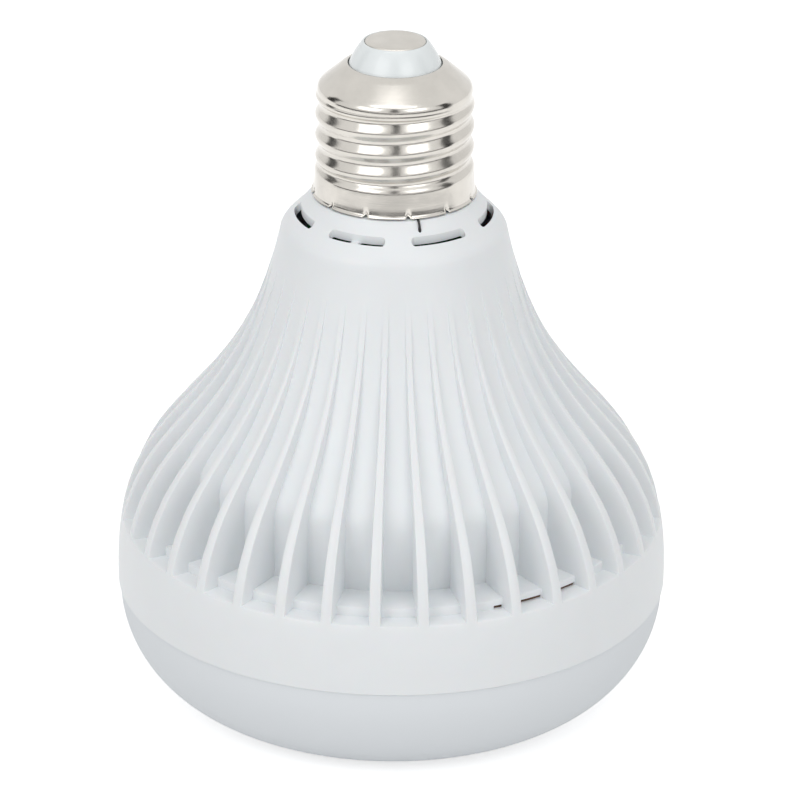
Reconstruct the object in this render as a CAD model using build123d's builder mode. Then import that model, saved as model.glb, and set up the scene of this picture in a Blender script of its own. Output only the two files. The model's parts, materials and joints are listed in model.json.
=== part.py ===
"""Speaker light bulb: a ribbed E27 lamp with a milky light ring and a speaker in its light face.

Millimetres, +Z up. The bulb stands on its light face at z = 0 and the centre contact is on top.
Rib 0 points along -Y. Radii are measured from the Z axis.
"""
import os
from math import acos, cos, radians, sin

from build123d import *

os.makedirs("parts", exist_ok=True)

# Driving dimensions: housing
WALL = 1.6                  # wall of the moulded housing
RIM_R = 46.6                # largest radius, at the rim
NECK_TOP_Z = 89.3           # flat top of the neck
NECK_TOP_R = 14.6
SEAM_Z = 19.6               # lower edge of the rim, where the diffuser starts
BELL_FOOT_Z = 21.9          # the rim is a cylinder up to here, then the bell curve starts
BELL_FULLNESS = 30.2        # how far the bell stays full above its foot
COLLAR_R = 18.8             # collar under the cap
COLLAR_Z = NECK_TOP_Z - 6.3   # where the bell curve ends
FLARE_R = 7.7               # handle of the bell curve at the collar, outward
FLARE_Z = 36.6              # and downward
SPIGOT_R = 11.6             # spigot inside the cap
SPIGOT_H = 15.2
SPIGOT_BORE_R = 9.8
COLUMN_R = 2.6              # columns for the screws of the pod
PAD_R = 2.2                 # pads for the screws of the light board
PILOT_DEPTH = 7.0           # screw holes in the columns
GUIDE_H = 7.0               # guides for the edges of the power board
GUIDE_RIB = 1.3

# Ribs, the channels between them and the vent slots
RIB_COUNT = 36
RIB_ANGLE = 2.5             # degrees that one rib takes
RING_TOP_Z = 31.7           # flat ring at the foot of the channels
RISER_R = RIM_R - 4.2
STEP_TOP_Z = 33.3
DRUM_R = 36.0
DRUM_TOP_Z = 43.8
FLOOR_FULLNESS = 5.3
FLOOR_FLARE_R = 5.8
FLOOR_FLARE_Z = 21.9
CHANNEL_END_R = 21.3
CHANNEL_END_Z = NECK_TOP_Z - 15.8
VENT_COUNT = 8
VENT_ARC = 31.5             # degrees from end to end
VENT_R = 16.7               # middle of the slot
VENT_W = 1.7
VENT_DEPTH = 5.2
VENT_START = 28.5           # first slot from +X, degrees
WEB_ANGLE = -110.0          # web across this slot and the opposite one
WEB_SUNK = 2.4              # its top below the neck, and its height
WEB_T = 1.4
SLITS = ((-63.5, 2.1), (-58.6, 7.2), (-48.6, 7.2))   # in the foot of the step: start and arc, degrees
SLIT_H = 0.5

# Screw cap, E27
CAP_H = 26.4                # from the top of the neck to the tip
SHEET = 0.3                 # sheet of the shell
LIP_R = 13.5
CREST_R = 13.1
THREAD_DEPTH = 0.9
PITCH = 3.629
KNUCKLE_R = 1.025           # both arcs of the rolled thread
SKIRT_H = 2.9               # plain skirt below the thread
THREAD_START_Z = 0.88       # first crest over +X, above the neck
THREAD_TURNS = 4.4
THREAD_TOP_Z = 16.6         # above the neck, where the crown starts
CROWN_R = 12.6
CROWN_Z = 17.8
CROWN_MOUTH_R = 7.75
CROWN_MOUTH_Z = 22.5
INSULATOR_R = 9.8           # flange under the crown
STAKE_COUNT = 12
STAKE_START = 13.2          # degrees from +X to the first stake
CONTACT_R = 5.0
CONTACT_T = 0.7
RIVET_R = 1.2

# Diffuser and grille
DIFFUSER_WALL = 1.6
DIFFUSER_INSET = 0.35       # the diffuser is this much smaller than the rim
FIT = 0.2                   # clearance of parts that slide into each other
SKIRT_IN = 4.0              # how far the diffuser reaches into the rim
GRILLE_T = 1.2
GRILLE_SLOT_W = 1.6
GRILLE_SKIRT_H = 2.0
GRILLE_SKIRT_T = 0.8
GRILLE_RINGS = ((0.71, 24, 0.294), (0.404, 16, 0.184), (0.191, 8, 0.125))   # radius, count, length
DIFFUSER_LIP_H = 6.0        # lip of the diffuser round the pod

# Speaker pod and speaker
POD_R = 27.2
POD_WALL = 1.3
POD_FLANGE_R = POD_R + 6.6
POD_TOP_Z = 33.6
LEDGE_Z = 5.8               # the speaker flange seats here
FLANGE_T = 0.8
FLANGE_R = POD_R - POD_WALL - 0.3
SPEAKER_SCREW_R = FLANGE_R - 1.3
SPEAKER_HEAD_R = 1.25
SPEAKER_HEAD_H = 0.9
BASKET_R = FLANGE_R - 4.7
BASKET_WINDOW = (10.0, 9.0)
SPIDER_R = BASKET_R - 4.9   # the spider is glued to a shelf here
SPIDER_Z = 12.0
SPIDER_WAVE = 0.35
SPIDER_WAVES = 4
SPIDER_T = 0.2
PLATE_Z = 16.3              # back of the basket, where the magnet system starts
PLATE_T = 2.5
PLATE_R = SPIDER_R - 2.0
MAGNET_R = SPIDER_R
MAGNET_T = 7.0
POLE_R = 6.2
GAP_R = 7.6
FORMER_R = 6.75
COIL_R = 7.2
CONE_R = BASKET_R - 3.5
CONE_T = 0.4
CONE_NECK_Z = 10.4
CONE_EDGE_Z = 5.6
ROLL_R = 2.0                # half roll of the surround
ROLL_T = 0.4
GASKET_T = 0.6
CAP_TOP_Z = 7.4
CAP_SAG = 1.9
STRIP_T = 1.0               # terminal strip
STRIP_W = 8.0
STRIP_H = 4.8
EYELET_R = 0.9

# Light board
LED_IN_R = POD_R + 2.0
LED_OUT_R = RIM_R - 3.2
BOARD_T = 1.6
LED_COUNT = 18
LED_SIZE = 2.8
LED_T = 0.8
LED_RING_R = LED_IN_R + 4.8
LED_LEAD_Y = LED_IN_R + 2.2
BOSS_PITCH_R = 38.5
SCREW_R = 1.0
HEAD_R = 1.9
HEAD_H = 1.2
SMALL_SCREW_R = 0.8

# Electronics
POD_BOSS_R = POD_R + 3.6
AUDIO_BOARD_Z = POD_TOP_Z + 4.4
AUDIO_W = 34.0
AUDIO_D = 25.0
AUDIO_Y = 1.5               # middle of the audio board
AUDIO_SCREW_L = 3.0
AUDIO_HEAD_R = 1.6
AUDIO_HEAD_H = 1.0
POST_R = 2.2                # posts under the audio board
MODULE_SIZE = (12.0, 15.0, 0.8)    # radio module: its board, then its shield
SHIELD_SIZE = (10.4, 10.4, 1.6)
CHIP_SIZE = (5.0, 4.8, 1.4)        # amplifier
CHIP_LEG = (0.4, 1.0, 0.6)
CHIP_PITCH = 1.27
CHIP_X = 4.5
CAN_R = 4.0                 # both electrolytic capacitors
OUTPUT_CAN_H = 11.5
MAINS_CAN_H = 11.6
LINK_PIN = 0.64
LINK_PIN_L = 3.2
LINK_PITCH = 2.54
PCB_T = 1.2
POWER_Y = -6.0              # front face of the upright power board
POWER_TOP_Z = NECK_TOP_Z - 3.9
POWER_HALF_W = 19.0
NECK_HALF_W = 13.9
LEAD_R = 0.45
WIRE_R = 0.3
SPEAKER_LEAD_X = BASKET_R + 0.6
LEAD_DROP = 2.2             # leads run this far under the audio board
NEUTRAL_ANGLE = -70.0
NEUTRAL_R = 0.35
LIVE_R = 0.6
CORE_SIZE = (16.0, 14.0, 5.0)      # transformer core, its windows and its coil
CORE_WINDOW = (3.8, 9.6)
COIL_SIZE = (11.8, 11.4, 9.4)
FILM_SIZE = (9.0, 4.2, 7.6)
BRIDGE_SIZE = (4.8, 4.0, 2.4)
BRIDGE_LEG = (0.7, 1.6, 0.9)
INDUCTOR_R = 3.2
INDUCTOR_H = 6.8
INDUCTOR_RIM = 1.1
RESISTOR_R = 1.9            # end caps of the resistor
RESISTOR_WAIST_R = 1.6
RESISTOR_L = 9.6

# Heights that follow from the above
LIP_Z = NECK_TOP_Z + 0.1
SPIGOT_TOP_Z = NECK_TOP_Z + SPIGOT_H
TIP_Z = NECK_TOP_Z + CAP_H
CHANNEL_ANGLE = 360.0 / RIB_COUNT - RIB_ANGLE
LED_BOARD_Z = RING_TOP_Z - WALL - 0.05 - BOARD_T
POWER_FOOT_Z = AUDIO_BOARD_Z + PCB_T + 0.05
RIM_IN_R = RIM_R - WALL - 0.1
DIFFUSER_R = RIM_R - DIFFUSER_INSET
FACE_R = POD_R + 0.8        # flat light face, out to the start of the curve
BOWL_Z = SEAM_Z - 0.8       # the bowl of the diffuser is widest here
CAP_R = FORMER_R + 0.1174 * (CONE_R - FORMER_R)   # dust cap
CAP_RIM_Z = CAP_TOP_Z + CAP_SAG
SPIDER_PITCH = (SPIDER_R - FORMER_R - 1.9) / SPIDER_WAVES
SHELF_Z = LEDGE_Z - FLANGE_T                      # front of the speaker flange
ROLL_IN_R = CONE_R + 0.9
ROLL_OUT_R = ROLL_IN_R + 2 * ROLL_R - 0.7
TERMINAL_Z = SPIDER_Z + 3.6
PARTS_Y = POWER_Y + PCB_T
TRANSFORMER_Y = PARTS_Y + 5.75
TRANSFORMER_Z = POWER_FOOT_Z + 14.75
MODULE_Z = AUDIO_BOARD_Z + PCB_T
RESISTOR_Z = NECK_TOP_Z + 0.7
AUDIO_POSTS = [(x, y) for x in (2.5 - AUDIO_W / 2, AUDIO_W / 2 - 2.5) for y in (-8.2, AUDIO_Y + 10)]


def polar(radius, angle, z):
    """Point at a radius and an angle from +X in degrees."""
    return (radius * cos(radians(angle)), radius * sin(radians(angle)), z)


def lead(points, radius):
    """Round lead along straight runs with mitred bends."""
    with BuildPart() as tube:
        with BuildLine() as route:
            Polyline(*points)
        with BuildSketch(Plane(origin=route.line @ 0, z_dir=route.line % 0)):
            Circle(radius)
        sweep(path=route.line, transition=Transition.RIGHT)
    return tube.part


def pan_screw(shank, head_r=HEAD_R, shank_r=SCREW_R, head_h=HEAD_H):
    """Pan head screw that points up, with the underside of its head at z = 0."""
    with BuildPart() as screw:
        with BuildSketch(Plane.XZ):
            Polygon(
                (0, -head_h),
                (head_r * 0.6, -head_h),
                (head_r, -head_h * 0.4),
                (head_r, 0),
                (shank_r, 0),
                (shank_r, shank),
                (0, shank),
                align=None,
            )
        revolve(axis=Axis.Z)
    return screw.part


# Housing: the bell as a solid, its cavity and the channels are taken out of it
with BuildLine() as floor_curve:
    Bezier(
        (DRUM_R, DRUM_TOP_Z),
        (DRUM_R, DRUM_TOP_Z + FLOOR_FULLNESS),
        (CHANNEL_END_R + FLOOR_FLARE_R, CHANNEL_END_Z - FLOOR_FLARE_Z),
        (CHANNEL_END_R, CHANNEL_END_Z),
    )
# The inside follows the floor of the channels, one wall behind it, in straight steps
floor_inside = []
for share in (0.2, 0.45, 0.7):
    on_floor = floor_curve.line @ share
    along = floor_curve.line % share
    floor_inside.append((on_floor.X - WALL * along.Y, on_floor.Y + WALL * along.X))

with BuildPart() as cavity:
    with BuildSketch(Plane.XZ):
        with BuildLine():
            Polyline(
                (0, SEAM_Z - 1),
                (RIM_IN_R, SEAM_Z - 1),
                (RIM_IN_R, RING_TOP_Z - WALL),
                (RISER_R - WALL + 0.2, RING_TOP_Z - WALL),
                (RISER_R - WALL + 0.2, STEP_TOP_Z - WALL),
                (DRUM_R - WALL, STEP_TOP_Z - WALL),
                (DRUM_R - WALL, DRUM_TOP_Z - WALL / 2),
            )
            Polyline(
                (DRUM_R - WALL, DRUM_TOP_Z - WALL / 2),
                *floor_inside,
                (CHANNEL_END_R - WALL, CHANNEL_END_Z),
                (COLLAR_R - WALL, COLLAR_Z),
                (COLLAR_R - WALL - 1.0, NECK_TOP_Z - 2 * WALL),
                (SPIGOT_BORE_R, NECK_TOP_Z - WALL),
                (SPIGOT_BORE_R, SPIGOT_TOP_Z + 1),
                (0, SPIGOT_TOP_Z + 1),
                (0, SEAM_Z - 1),
            )
        make_face()
    revolve(axis=Axis.Z)
    # Columns left standing for the screws of the pod
    with BuildSketch(Plane.XY.offset(POD_TOP_Z + 0.05)):
        with PolarLocations(POD_BOSS_R, 3, start_angle=30):
            Circle(COLUMN_R)
    extrude(amount=COLLAR_Z - POD_TOP_Z, mode=Mode.SUBTRACT)
    # Pads for the screws of the light board
    with BuildSketch(Plane.XY.offset(LED_BOARD_Z + BOARD_T + 0.05)):
        with PolarLocations(BOSS_PITCH_R, 3, start_angle=90):
            Circle(PAD_R)
    extrude(amount=STEP_TOP_Z - LED_BOARD_Z, mode=Mode.SUBTRACT)
    # Guides for both edges of the power board
    with BuildSketch(Plane.XY.offset(CHANNEL_END_Z - 10 - GUIDE_H)):
        with Locations((POWER_HALF_W + 3, POWER_Y + PCB_T / 2), (-POWER_HALF_W - 3, POWER_Y + PCB_T / 2)):
            Rectangle(9, PCB_T + 2 * GUIDE_RIB)
            Rectangle(10, PCB_T + FIT, mode=Mode.SUBTRACT)
    extrude(amount=GUIDE_H, mode=Mode.SUBTRACT)

with BuildPart() as channel:
    with BuildSketch(Plane.XZ.rotated((0, 0, RIB_ANGLE / 2))):
        with BuildLine():
            Polyline(
                (CHANNEL_END_R, CHANNEL_END_Z),
                (RIM_R + 2, CHANNEL_END_Z),
                (RIM_R + 2, RING_TOP_Z),
                (RISER_R, RING_TOP_Z),
                (RISER_R, STEP_TOP_Z),
                (DRUM_R, STEP_TOP_Z),
                (DRUM_R, DRUM_TOP_Z),
            )
            Bezier(
                (DRUM_R, DRUM_TOP_Z),
                (DRUM_R, DRUM_TOP_Z + FLOOR_FULLNESS),
                (CHANNEL_END_R + FLOOR_FLARE_R, CHANNEL_END_Z - FLOOR_FLARE_Z),
                (CHANNEL_END_R, CHANNEL_END_Z),
            )
        make_face()
    revolve(axis=Axis.Z, revolution_arc=CHANNEL_ANGLE)

with BuildPart() as housing:
    with BuildSketch(Plane.XZ):
        with BuildLine():
            Polyline((0, SEAM_Z), (RIM_R, SEAM_Z), (RIM_R, BELL_FOOT_Z))
            Bezier(
                (RIM_R, BELL_FOOT_Z),
                (RIM_R, BELL_FOOT_Z + BELL_FULLNESS),
                (COLLAR_R + FLARE_R, COLLAR_Z - FLARE_Z),
                (COLLAR_R, COLLAR_Z),
            )
            Bezier(
                (COLLAR_R, COLLAR_Z),
                (COLLAR_R - 0.5, COLLAR_Z + 2.4),
                (NECK_TOP_R + 2.6, NECK_TOP_Z - 1.3),
                (NECK_TOP_R, NECK_TOP_Z),
            )
            Polyline(
                (NECK_TOP_R, NECK_TOP_Z),
                (SPIGOT_R, NECK_TOP_Z),
                (SPIGOT_R, SPIGOT_TOP_Z),
                (0, SPIGOT_TOP_Z),
                (0, SEAM_Z),
            )
        make_face()
    revolve(axis=Axis.Z)
    add(cavity.part, mode=Mode.SUBTRACT)
    with PolarLocations(0, RIB_COUNT):
        add(channel.part, mode=Mode.SUBTRACT)
    # Vent slots in the shoulder of the neck
    with BuildSketch(Plane.XY.offset(NECK_TOP_Z)):
        for k in range(VENT_COUNT):
            middle = VENT_START + k * 360.0 / VENT_COUNT
            with BuildLine(mode=Mode.PRIVATE) as arc:
                CenterArc((0, 0), VENT_R, middle - VENT_ARC / 2 + 3, VENT_ARC - 6)
            SlotArc(arc.edge(), VENT_W)
    extrude(amount=-VENT_DEPTH, mode=Mode.SUBTRACT)
    # Web across two opposite slots, below the surface
    with BuildSketch(Plane.XY.offset(NECK_TOP_Z - WEB_SUNK)):
        with PolarLocations(VENT_R - 0.6, 2, start_angle=WEB_ANGLE):
            Rectangle(VENT_W + 2.2, WEB_T)
    extrude(amount=-WEB_SUNK)
    # Notch for the neutral lead, from a slot to under the lip of the shell
    with BuildSketch(Plane.XY.offset(NECK_TOP_Z)):
        with PolarLocations((VENT_R + SPIGOT_R) / 2, 1, start_angle=NEUTRAL_ANGLE):
            Rectangle(VENT_R - SPIGOT_R - 2 * FIT, 3 * NEUTRAL_R)
    extrude(amount=-2 * NEUTRAL_R - 0.05, mode=Mode.SUBTRACT)
    # Slits in the foot of the step
    for slit_start, slit_arc in SLITS:
        with BuildSketch(Plane.XZ.rotated((0, 0, slit_start))):
            with Locations((RISER_R - 0.9, RING_TOP_Z - 0.3 + SLIT_H / 2)):
                Rectangle(2.0, SLIT_H + 0.6)
        revolve(axis=Axis.Z, revolution_arc=slit_arc, mode=Mode.SUBTRACT)
    # Pilot holes for the screws of the pod and of the light board
    with BuildSketch(Plane.XY.offset(POD_TOP_Z)):
        with PolarLocations(POD_BOSS_R, 3, start_angle=30):
            Circle(SCREW_R)
    extrude(amount=PILOT_DEPTH, mode=Mode.SUBTRACT)
    with BuildSketch(Plane.XY.offset(LED_BOARD_Z + BOARD_T)):
        with PolarLocations(BOSS_PITCH_R, 3, start_angle=90):
            Circle(SCREW_R)
    extrude(amount=2.6, mode=Mode.SUBTRACT)
housing.part.label = "housing"
export_step(housing.part, "parts/housing.step")

# Screw shell: a sheet with the rolled thread as a helical ridge on it
with BuildPart() as thread_ridge:
    half_turn = acos((2 * KNUCKLE_R - THREAD_DEPTH) / (2 * KNUCKLE_R))
    joint_x = KNUCKLE_R * cos(half_turn) - KNUCKLE_R
    joint_y = KNUCKLE_R * sin(half_turn)
    with BuildLine() as helix:
        Helix(
            pitch=PITCH,
            height=PITCH * THREAD_TURNS,
            radius=CREST_R,
            center=(0, 0, NECK_TOP_Z + THREAD_START_Z),
        )
    with BuildSketch(Plane(origin=helix.line @ 0, x_dir=(1, 0, 0), z_dir=helix.line % 0)):
        with BuildLine():
            ThreePointArc((joint_x, joint_y), (0, 0), (joint_x, -joint_y))
            Polyline(
                (joint_x, -joint_y),
                (-THREAD_DEPTH - 0.2, -1.7 * joint_y),
                (-THREAD_DEPTH - 0.2, 1.7 * joint_y),
                (joint_x, joint_y),
            )
        make_face()
    sweep(path=helix.line, is_frenet=True)

with BuildPart() as thread_limit:
    with BuildSketch(Plane.XZ):
        Polygon(
            (0, LIP_Z),
            (LIP_R + 0.5, LIP_Z),
            (LIP_R + 0.5, NECK_TOP_Z + SKIRT_H),
            (CREST_R + 0.1, NECK_TOP_Z + THREAD_TOP_Z - 1.4),
            (CROWN_R, NECK_TOP_Z + CROWN_Z),
            (CROWN_R, TIP_Z),
            (0, TIP_Z),
            align=None,
        )
    revolve(axis=Axis.Z)

with BuildPart() as shell_inside:
    with BuildSketch(Plane.XZ):
        with BuildLine():
            Polyline(
                (0, LIP_Z - 1),
                (CREST_R - SHEET, LIP_Z - 1),
                (CREST_R - SHEET, NECK_TOP_Z + SKIRT_H - SHEET / 2),
                (CREST_R - THREAD_DEPTH - SHEET, NECK_TOP_Z + SKIRT_H + 0.7 - SHEET / 2),
                (CREST_R - THREAD_DEPTH - SHEET, NECK_TOP_Z + THREAD_TOP_Z),
            )
            ThreePointArc(
                (CREST_R - THREAD_DEPTH - SHEET, NECK_TOP_Z + THREAD_TOP_Z),
                (CROWN_R - SHEET, NECK_TOP_Z + CROWN_Z),
                (CROWN_R - 1.2, NECK_TOP_Z + CROWN_Z + 1.7),
            )
            Polyline(
                (CROWN_R - 1.2, NECK_TOP_Z + CROWN_Z + 1.7),
                (CROWN_MOUTH_R, NECK_TOP_Z + CROWN_MOUTH_Z - SHEET),
                (CROWN_MOUTH_R, TIP_Z),
                (0, TIP_Z),
                (0, LIP_Z - 1),
            )
        make_face()
    revolve(axis=Axis.Z)

with BuildPart() as screw_shell:
    with BuildSketch(Plane.XZ):
        with BuildLine():
            Polyline(
                (0, LIP_Z),
                (LIP_R, LIP_Z),
                (LIP_R, LIP_Z + SHEET),
                (CREST_R + 0.05, LIP_Z + 2.2 * SHEET),
                (CREST_R + 0.05, NECK_TOP_Z + SKIRT_H),
                (CREST_R - THREAD_DEPTH, NECK_TOP_Z + SKIRT_H + 0.7),
                (CREST_R - THREAD_DEPTH, NECK_TOP_Z + THREAD_TOP_Z),
            )
            ThreePointArc(
                (CREST_R - THREAD_DEPTH, NECK_TOP_Z + THREAD_TOP_Z),
                (CROWN_R, NECK_TOP_Z + CROWN_Z),
                (CROWN_R - 1.0, NECK_TOP_Z + CROWN_Z + 1.9),
            )
            Polyline(
                (CROWN_R - 1.0, NECK_TOP_Z + CROWN_Z + 1.9),
                (CROWN_MOUTH_R, NECK_TOP_Z + CROWN_MOUTH_Z),
                (0, NECK_TOP_Z + CROWN_MOUTH_Z),
                (0, LIP_Z),
            )
        make_face()
    revolve(axis=Axis.Z)
    add(thread_ridge.part)
    add(thread_limit.part, mode=Mode.INTERSECT)
    add(shell_inside.part, mode=Mode.SUBTRACT)
    # Stakes that lock the lip to the neck
    with BuildSketch(Plane.XY.offset(LIP_Z)):
        with PolarLocations(LIP_R, STAKE_COUNT, start_angle=STAKE_START):
            Rectangle(0.7, 0.8)
    extrude(amount=2 * SHEET, mode=Mode.SUBTRACT)
screw_shell.part.label = "screw_shell"
export_step(screw_shell.part, "parts/screw_shell.step")

# Insulator: its flange lies under the crown, its cone carries the contact
with BuildPart() as cap_insulator:
    with BuildSketch(Plane.XZ):
        with BuildLine():
            Polyline(
                (RIVET_R + 0.05, NECK_TOP_Z + CROWN_Z + 0.7),
                (INSULATOR_R, NECK_TOP_Z + CROWN_Z + 0.7),
                (INSULATOR_R, NECK_TOP_Z + CROWN_Z + 2.5),
                (CROWN_MOUTH_R - 0.1, NECK_TOP_Z + CROWN_MOUTH_Z - SHEET - 0.1),
                (CROWN_MOUTH_R - 0.1, NECK_TOP_Z + CROWN_MOUTH_Z),
            )
            Bezier(
                (CROWN_MOUTH_R - 0.1, NECK_TOP_Z + CROWN_MOUTH_Z),
                (CROWN_MOUTH_R - 0.2, TIP_Z - 1.9),
                (CONTACT_R + 1.5, TIP_Z - 0.6),
                (CONTACT_R + 0.15, TIP_Z - 0.35),
            )
            Polyline(
                (CONTACT_R + 0.15, TIP_Z - 0.35),
                (CONTACT_R + 0.05, TIP_Z - CONTACT_T - 0.05),
                (RIVET_R + 0.05, TIP_Z - CONTACT_T - 0.05),
                (RIVET_R + 0.05, NECK_TOP_Z + CROWN_Z + 0.7),
            )
        make_face()
    revolve(axis=Axis.Z)
cap_insulator.part.label = "cap_insulator"
export_step(cap_insulator.part, "parts/cap_insulator.step")

# Centre contact: a disc with a rounded edge and a rivet that is flared below the insulator
with BuildPart() as centre_contact:
    with BuildSketch(Plane.XZ):
        with BuildLine():
            Line((0, TIP_Z), (CONTACT_R - 0.9, TIP_Z))
            TangentArc((CONTACT_R - 0.9, TIP_Z), (CONTACT_R, TIP_Z - 0.35), tangent=(1, 0))
            Polyline(
                (CONTACT_R, TIP_Z - 0.35),
                (CONTACT_R, TIP_Z - CONTACT_T),
                (RIVET_R, TIP_Z - CONTACT_T),
                (RIVET_R, NECK_TOP_Z + CROWN_Z + 0.65),
                (2 * RIVET_R, NECK_TOP_Z + CROWN_Z + 0.65),
                (2 * RIVET_R, NECK_TOP_Z + CROWN_Z + 0.15),
                (0, NECK_TOP_Z + CROWN_Z + 0.15),
                (0, TIP_Z),
            )
        make_face()
    revolve(axis=Axis.Z)
centre_contact.part.label = "centre_contact"
export_step(centre_contact.part, "parts/centre_contact.step")

# Diffuser: a quarter-elliptic bowl ring, with a skirt inside the rim and a lip round the pod
with BuildPart() as diffuser:
    with BuildSketch(Plane.XZ):
        with BuildLine():
            Polyline(
                (POD_R + FIT, 0),
                (FACE_R, 0),
            )
            EllipticalCenterArc(
                (FACE_R, BOWL_Z),
                DIFFUSER_R - FACE_R,
                BOWL_Z,
                start_angle=270,
                arc_size=90,
            )
            Polyline(
                (DIFFUSER_R, BOWL_Z),
                (DIFFUSER_R, SEAM_Z),
                (RIM_IN_R - FIT, SEAM_Z),
                (RIM_IN_R - FIT, SEAM_Z + SKIRT_IN),
                (RIM_IN_R - FIT - DIFFUSER_WALL, SEAM_Z + SKIRT_IN),
                (RIM_IN_R - FIT - DIFFUSER_WALL, BOWL_Z),
            )
            EllipticalCenterArc(
                (FACE_R + DIFFUSER_WALL, BOWL_Z),
                RIM_IN_R - FIT - 2 * DIFFUSER_WALL - FACE_R,
                BOWL_Z - DIFFUSER_WALL,
                start_angle=270,
                arc_size=90,
            )
            Polyline(
                (FACE_R + DIFFUSER_WALL, DIFFUSER_WALL),
                (POD_R + FIT + DIFFUSER_WALL, DIFFUSER_WALL),
                (POD_R + FIT + DIFFUSER_WALL, DIFFUSER_LIP_H),
                (POD_R + FIT, DIFFUSER_LIP_H),
                (POD_R + FIT, 0),
            )
        make_face()
    revolve(axis=Axis.Z)
diffuser.part.label = "diffuser"
export_step(diffuser.part, "parts/diffuser.step")

# Grille: a disc with three rings of radial slots and a skirt that plugs into the pod
with BuildPart() as speaker_grille:
    with BuildSketch():
        Circle(POD_R)
        for radius_share, slot_count, length_share in GRILLE_RINGS:
            with PolarLocations(radius_share * POD_R, slot_count):
                Rectangle(length_share * POD_R, GRILLE_SLOT_W, mode=Mode.SUBTRACT)
    extrude(amount=GRILLE_T)
    with BuildSketch(Plane.XY.offset(GRILLE_T)):
        Circle(POD_R - POD_WALL - FIT)
        Circle(POD_R - POD_WALL - FIT - GRILLE_SKIRT_T, mode=Mode.SUBTRACT)
    extrude(amount=GRILLE_SKIRT_H)
speaker_grille.part.label = "speaker_grille"
export_step(speaker_grille.part, "parts/speaker_grille.step")

# Pod: the cup that carries the speaker, closed at the back by its flange
with BuildPart() as speaker_pod:
    with BuildSketch(Plane.XZ):
        Polygon(
            (POD_R - POD_WALL, GRILLE_T),
            (POD_R, GRILLE_T),
            (POD_R, POD_TOP_Z - WALL),
            (POD_FLANGE_R, POD_TOP_Z - WALL),
            (POD_FLANGE_R, POD_TOP_Z),
            (0, POD_TOP_Z),
            (0, POD_TOP_Z - WALL),
            (POD_R - POD_WALL, POD_TOP_Z - WALL),
            (POD_R - POD_WALL, LEDGE_Z + 2),
            (SPEAKER_SCREW_R - 1.7, LEDGE_Z + 2),
            (SPEAKER_SCREW_R - 1.7, LEDGE_Z),
            (POD_R - POD_WALL, LEDGE_Z),
            align=None,
        )
    revolve(axis=Axis.Z)
    # Posts under the audio board
    with BuildSketch(Plane.XY.offset(POD_TOP_Z)):
        with Locations(*AUDIO_POSTS):
            Circle(POST_R)
    extrude(amount=AUDIO_BOARD_Z - POD_TOP_Z)
    with BuildSketch(Plane.XY.offset(AUDIO_BOARD_Z)):
        with Locations(*AUDIO_POSTS):
            Circle(SMALL_SCREW_R)
    extrude(amount=-AUDIO_SCREW_L, mode=Mode.SUBTRACT)
    # Screw holes, the slot for the speaker leads and the notch for the light board's leads
    with BuildSketch(Plane.XY.offset(POD_TOP_Z)):
        with PolarLocations(POD_BOSS_R, 3, start_angle=30):
            Circle(SCREW_R + 0.1)
        with Locations((SPEAKER_LEAD_X, 0)):
            Rectangle(2.4, 6.4)
        with Locations((0, LED_LEAD_Y + 1.5)):
            Rectangle(5, 5.6)
    extrude(amount=-WALL, mode=Mode.SUBTRACT)
    with BuildSketch(Plane.XY.offset(LEDGE_Z)):
        with PolarLocations(SPEAKER_SCREW_R, 4, start_angle=45):
            Circle(SMALL_SCREW_R)
    extrude(amount=1.8, mode=Mode.SUBTRACT)
speaker_pod.part.label = "speaker_pod"
export_step(speaker_pod.part, "parts/speaker_pod.step")

with BuildPart() as pod_screws:
    with Locations((0, 0, POD_TOP_Z - WALL)):
        with PolarLocations(POD_BOSS_R, 3, start_angle=30):
            add(pan_screw(WALL + 6, shank_r=SCREW_R - 0.02))
pod_screws.part.label = "pod_screws"
export_step(pod_screws.part, "parts/pod_screws.step")

# Light board: a brown ring with the chips on its lower face
with BuildPart() as led_board:
    with BuildSketch(Plane.XY.offset(LED_BOARD_Z)):
        Circle(LED_OUT_R)
        Circle(LED_IN_R, mode=Mode.SUBTRACT)
        with PolarLocations(BOSS_PITCH_R, 3, start_angle=90):
            Circle(SCREW_R + 0.1, mode=Mode.SUBTRACT)
    extrude(amount=BOARD_T)
led_board.part.label = "led_board"
export_step(led_board.part, "parts/led_board.step")

with BuildPart() as led_chips:
    with BuildSketch(Plane.XY.offset(LED_BOARD_Z)):
        with PolarLocations(LED_RING_R, LED_COUNT, start_angle=10):
            Rectangle(LED_SIZE, LED_SIZE)
    extrude(amount=-LED_T)
led_chips.part.label = "led_chips"
export_step(led_chips.part, "parts/led_chips.step")

with BuildPart() as led_board_screws:
    with Locations((0, 0, LED_BOARD_Z)):
        with PolarLocations(BOSS_PITCH_R, 3, start_angle=90):
            add(pan_screw(BOARD_T + 2.4, shank_r=SCREW_R - 0.02))
led_board_screws.part.label = "led_board_screws"
export_step(led_board_screws.part, "parts/led_board_screws.step")

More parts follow.
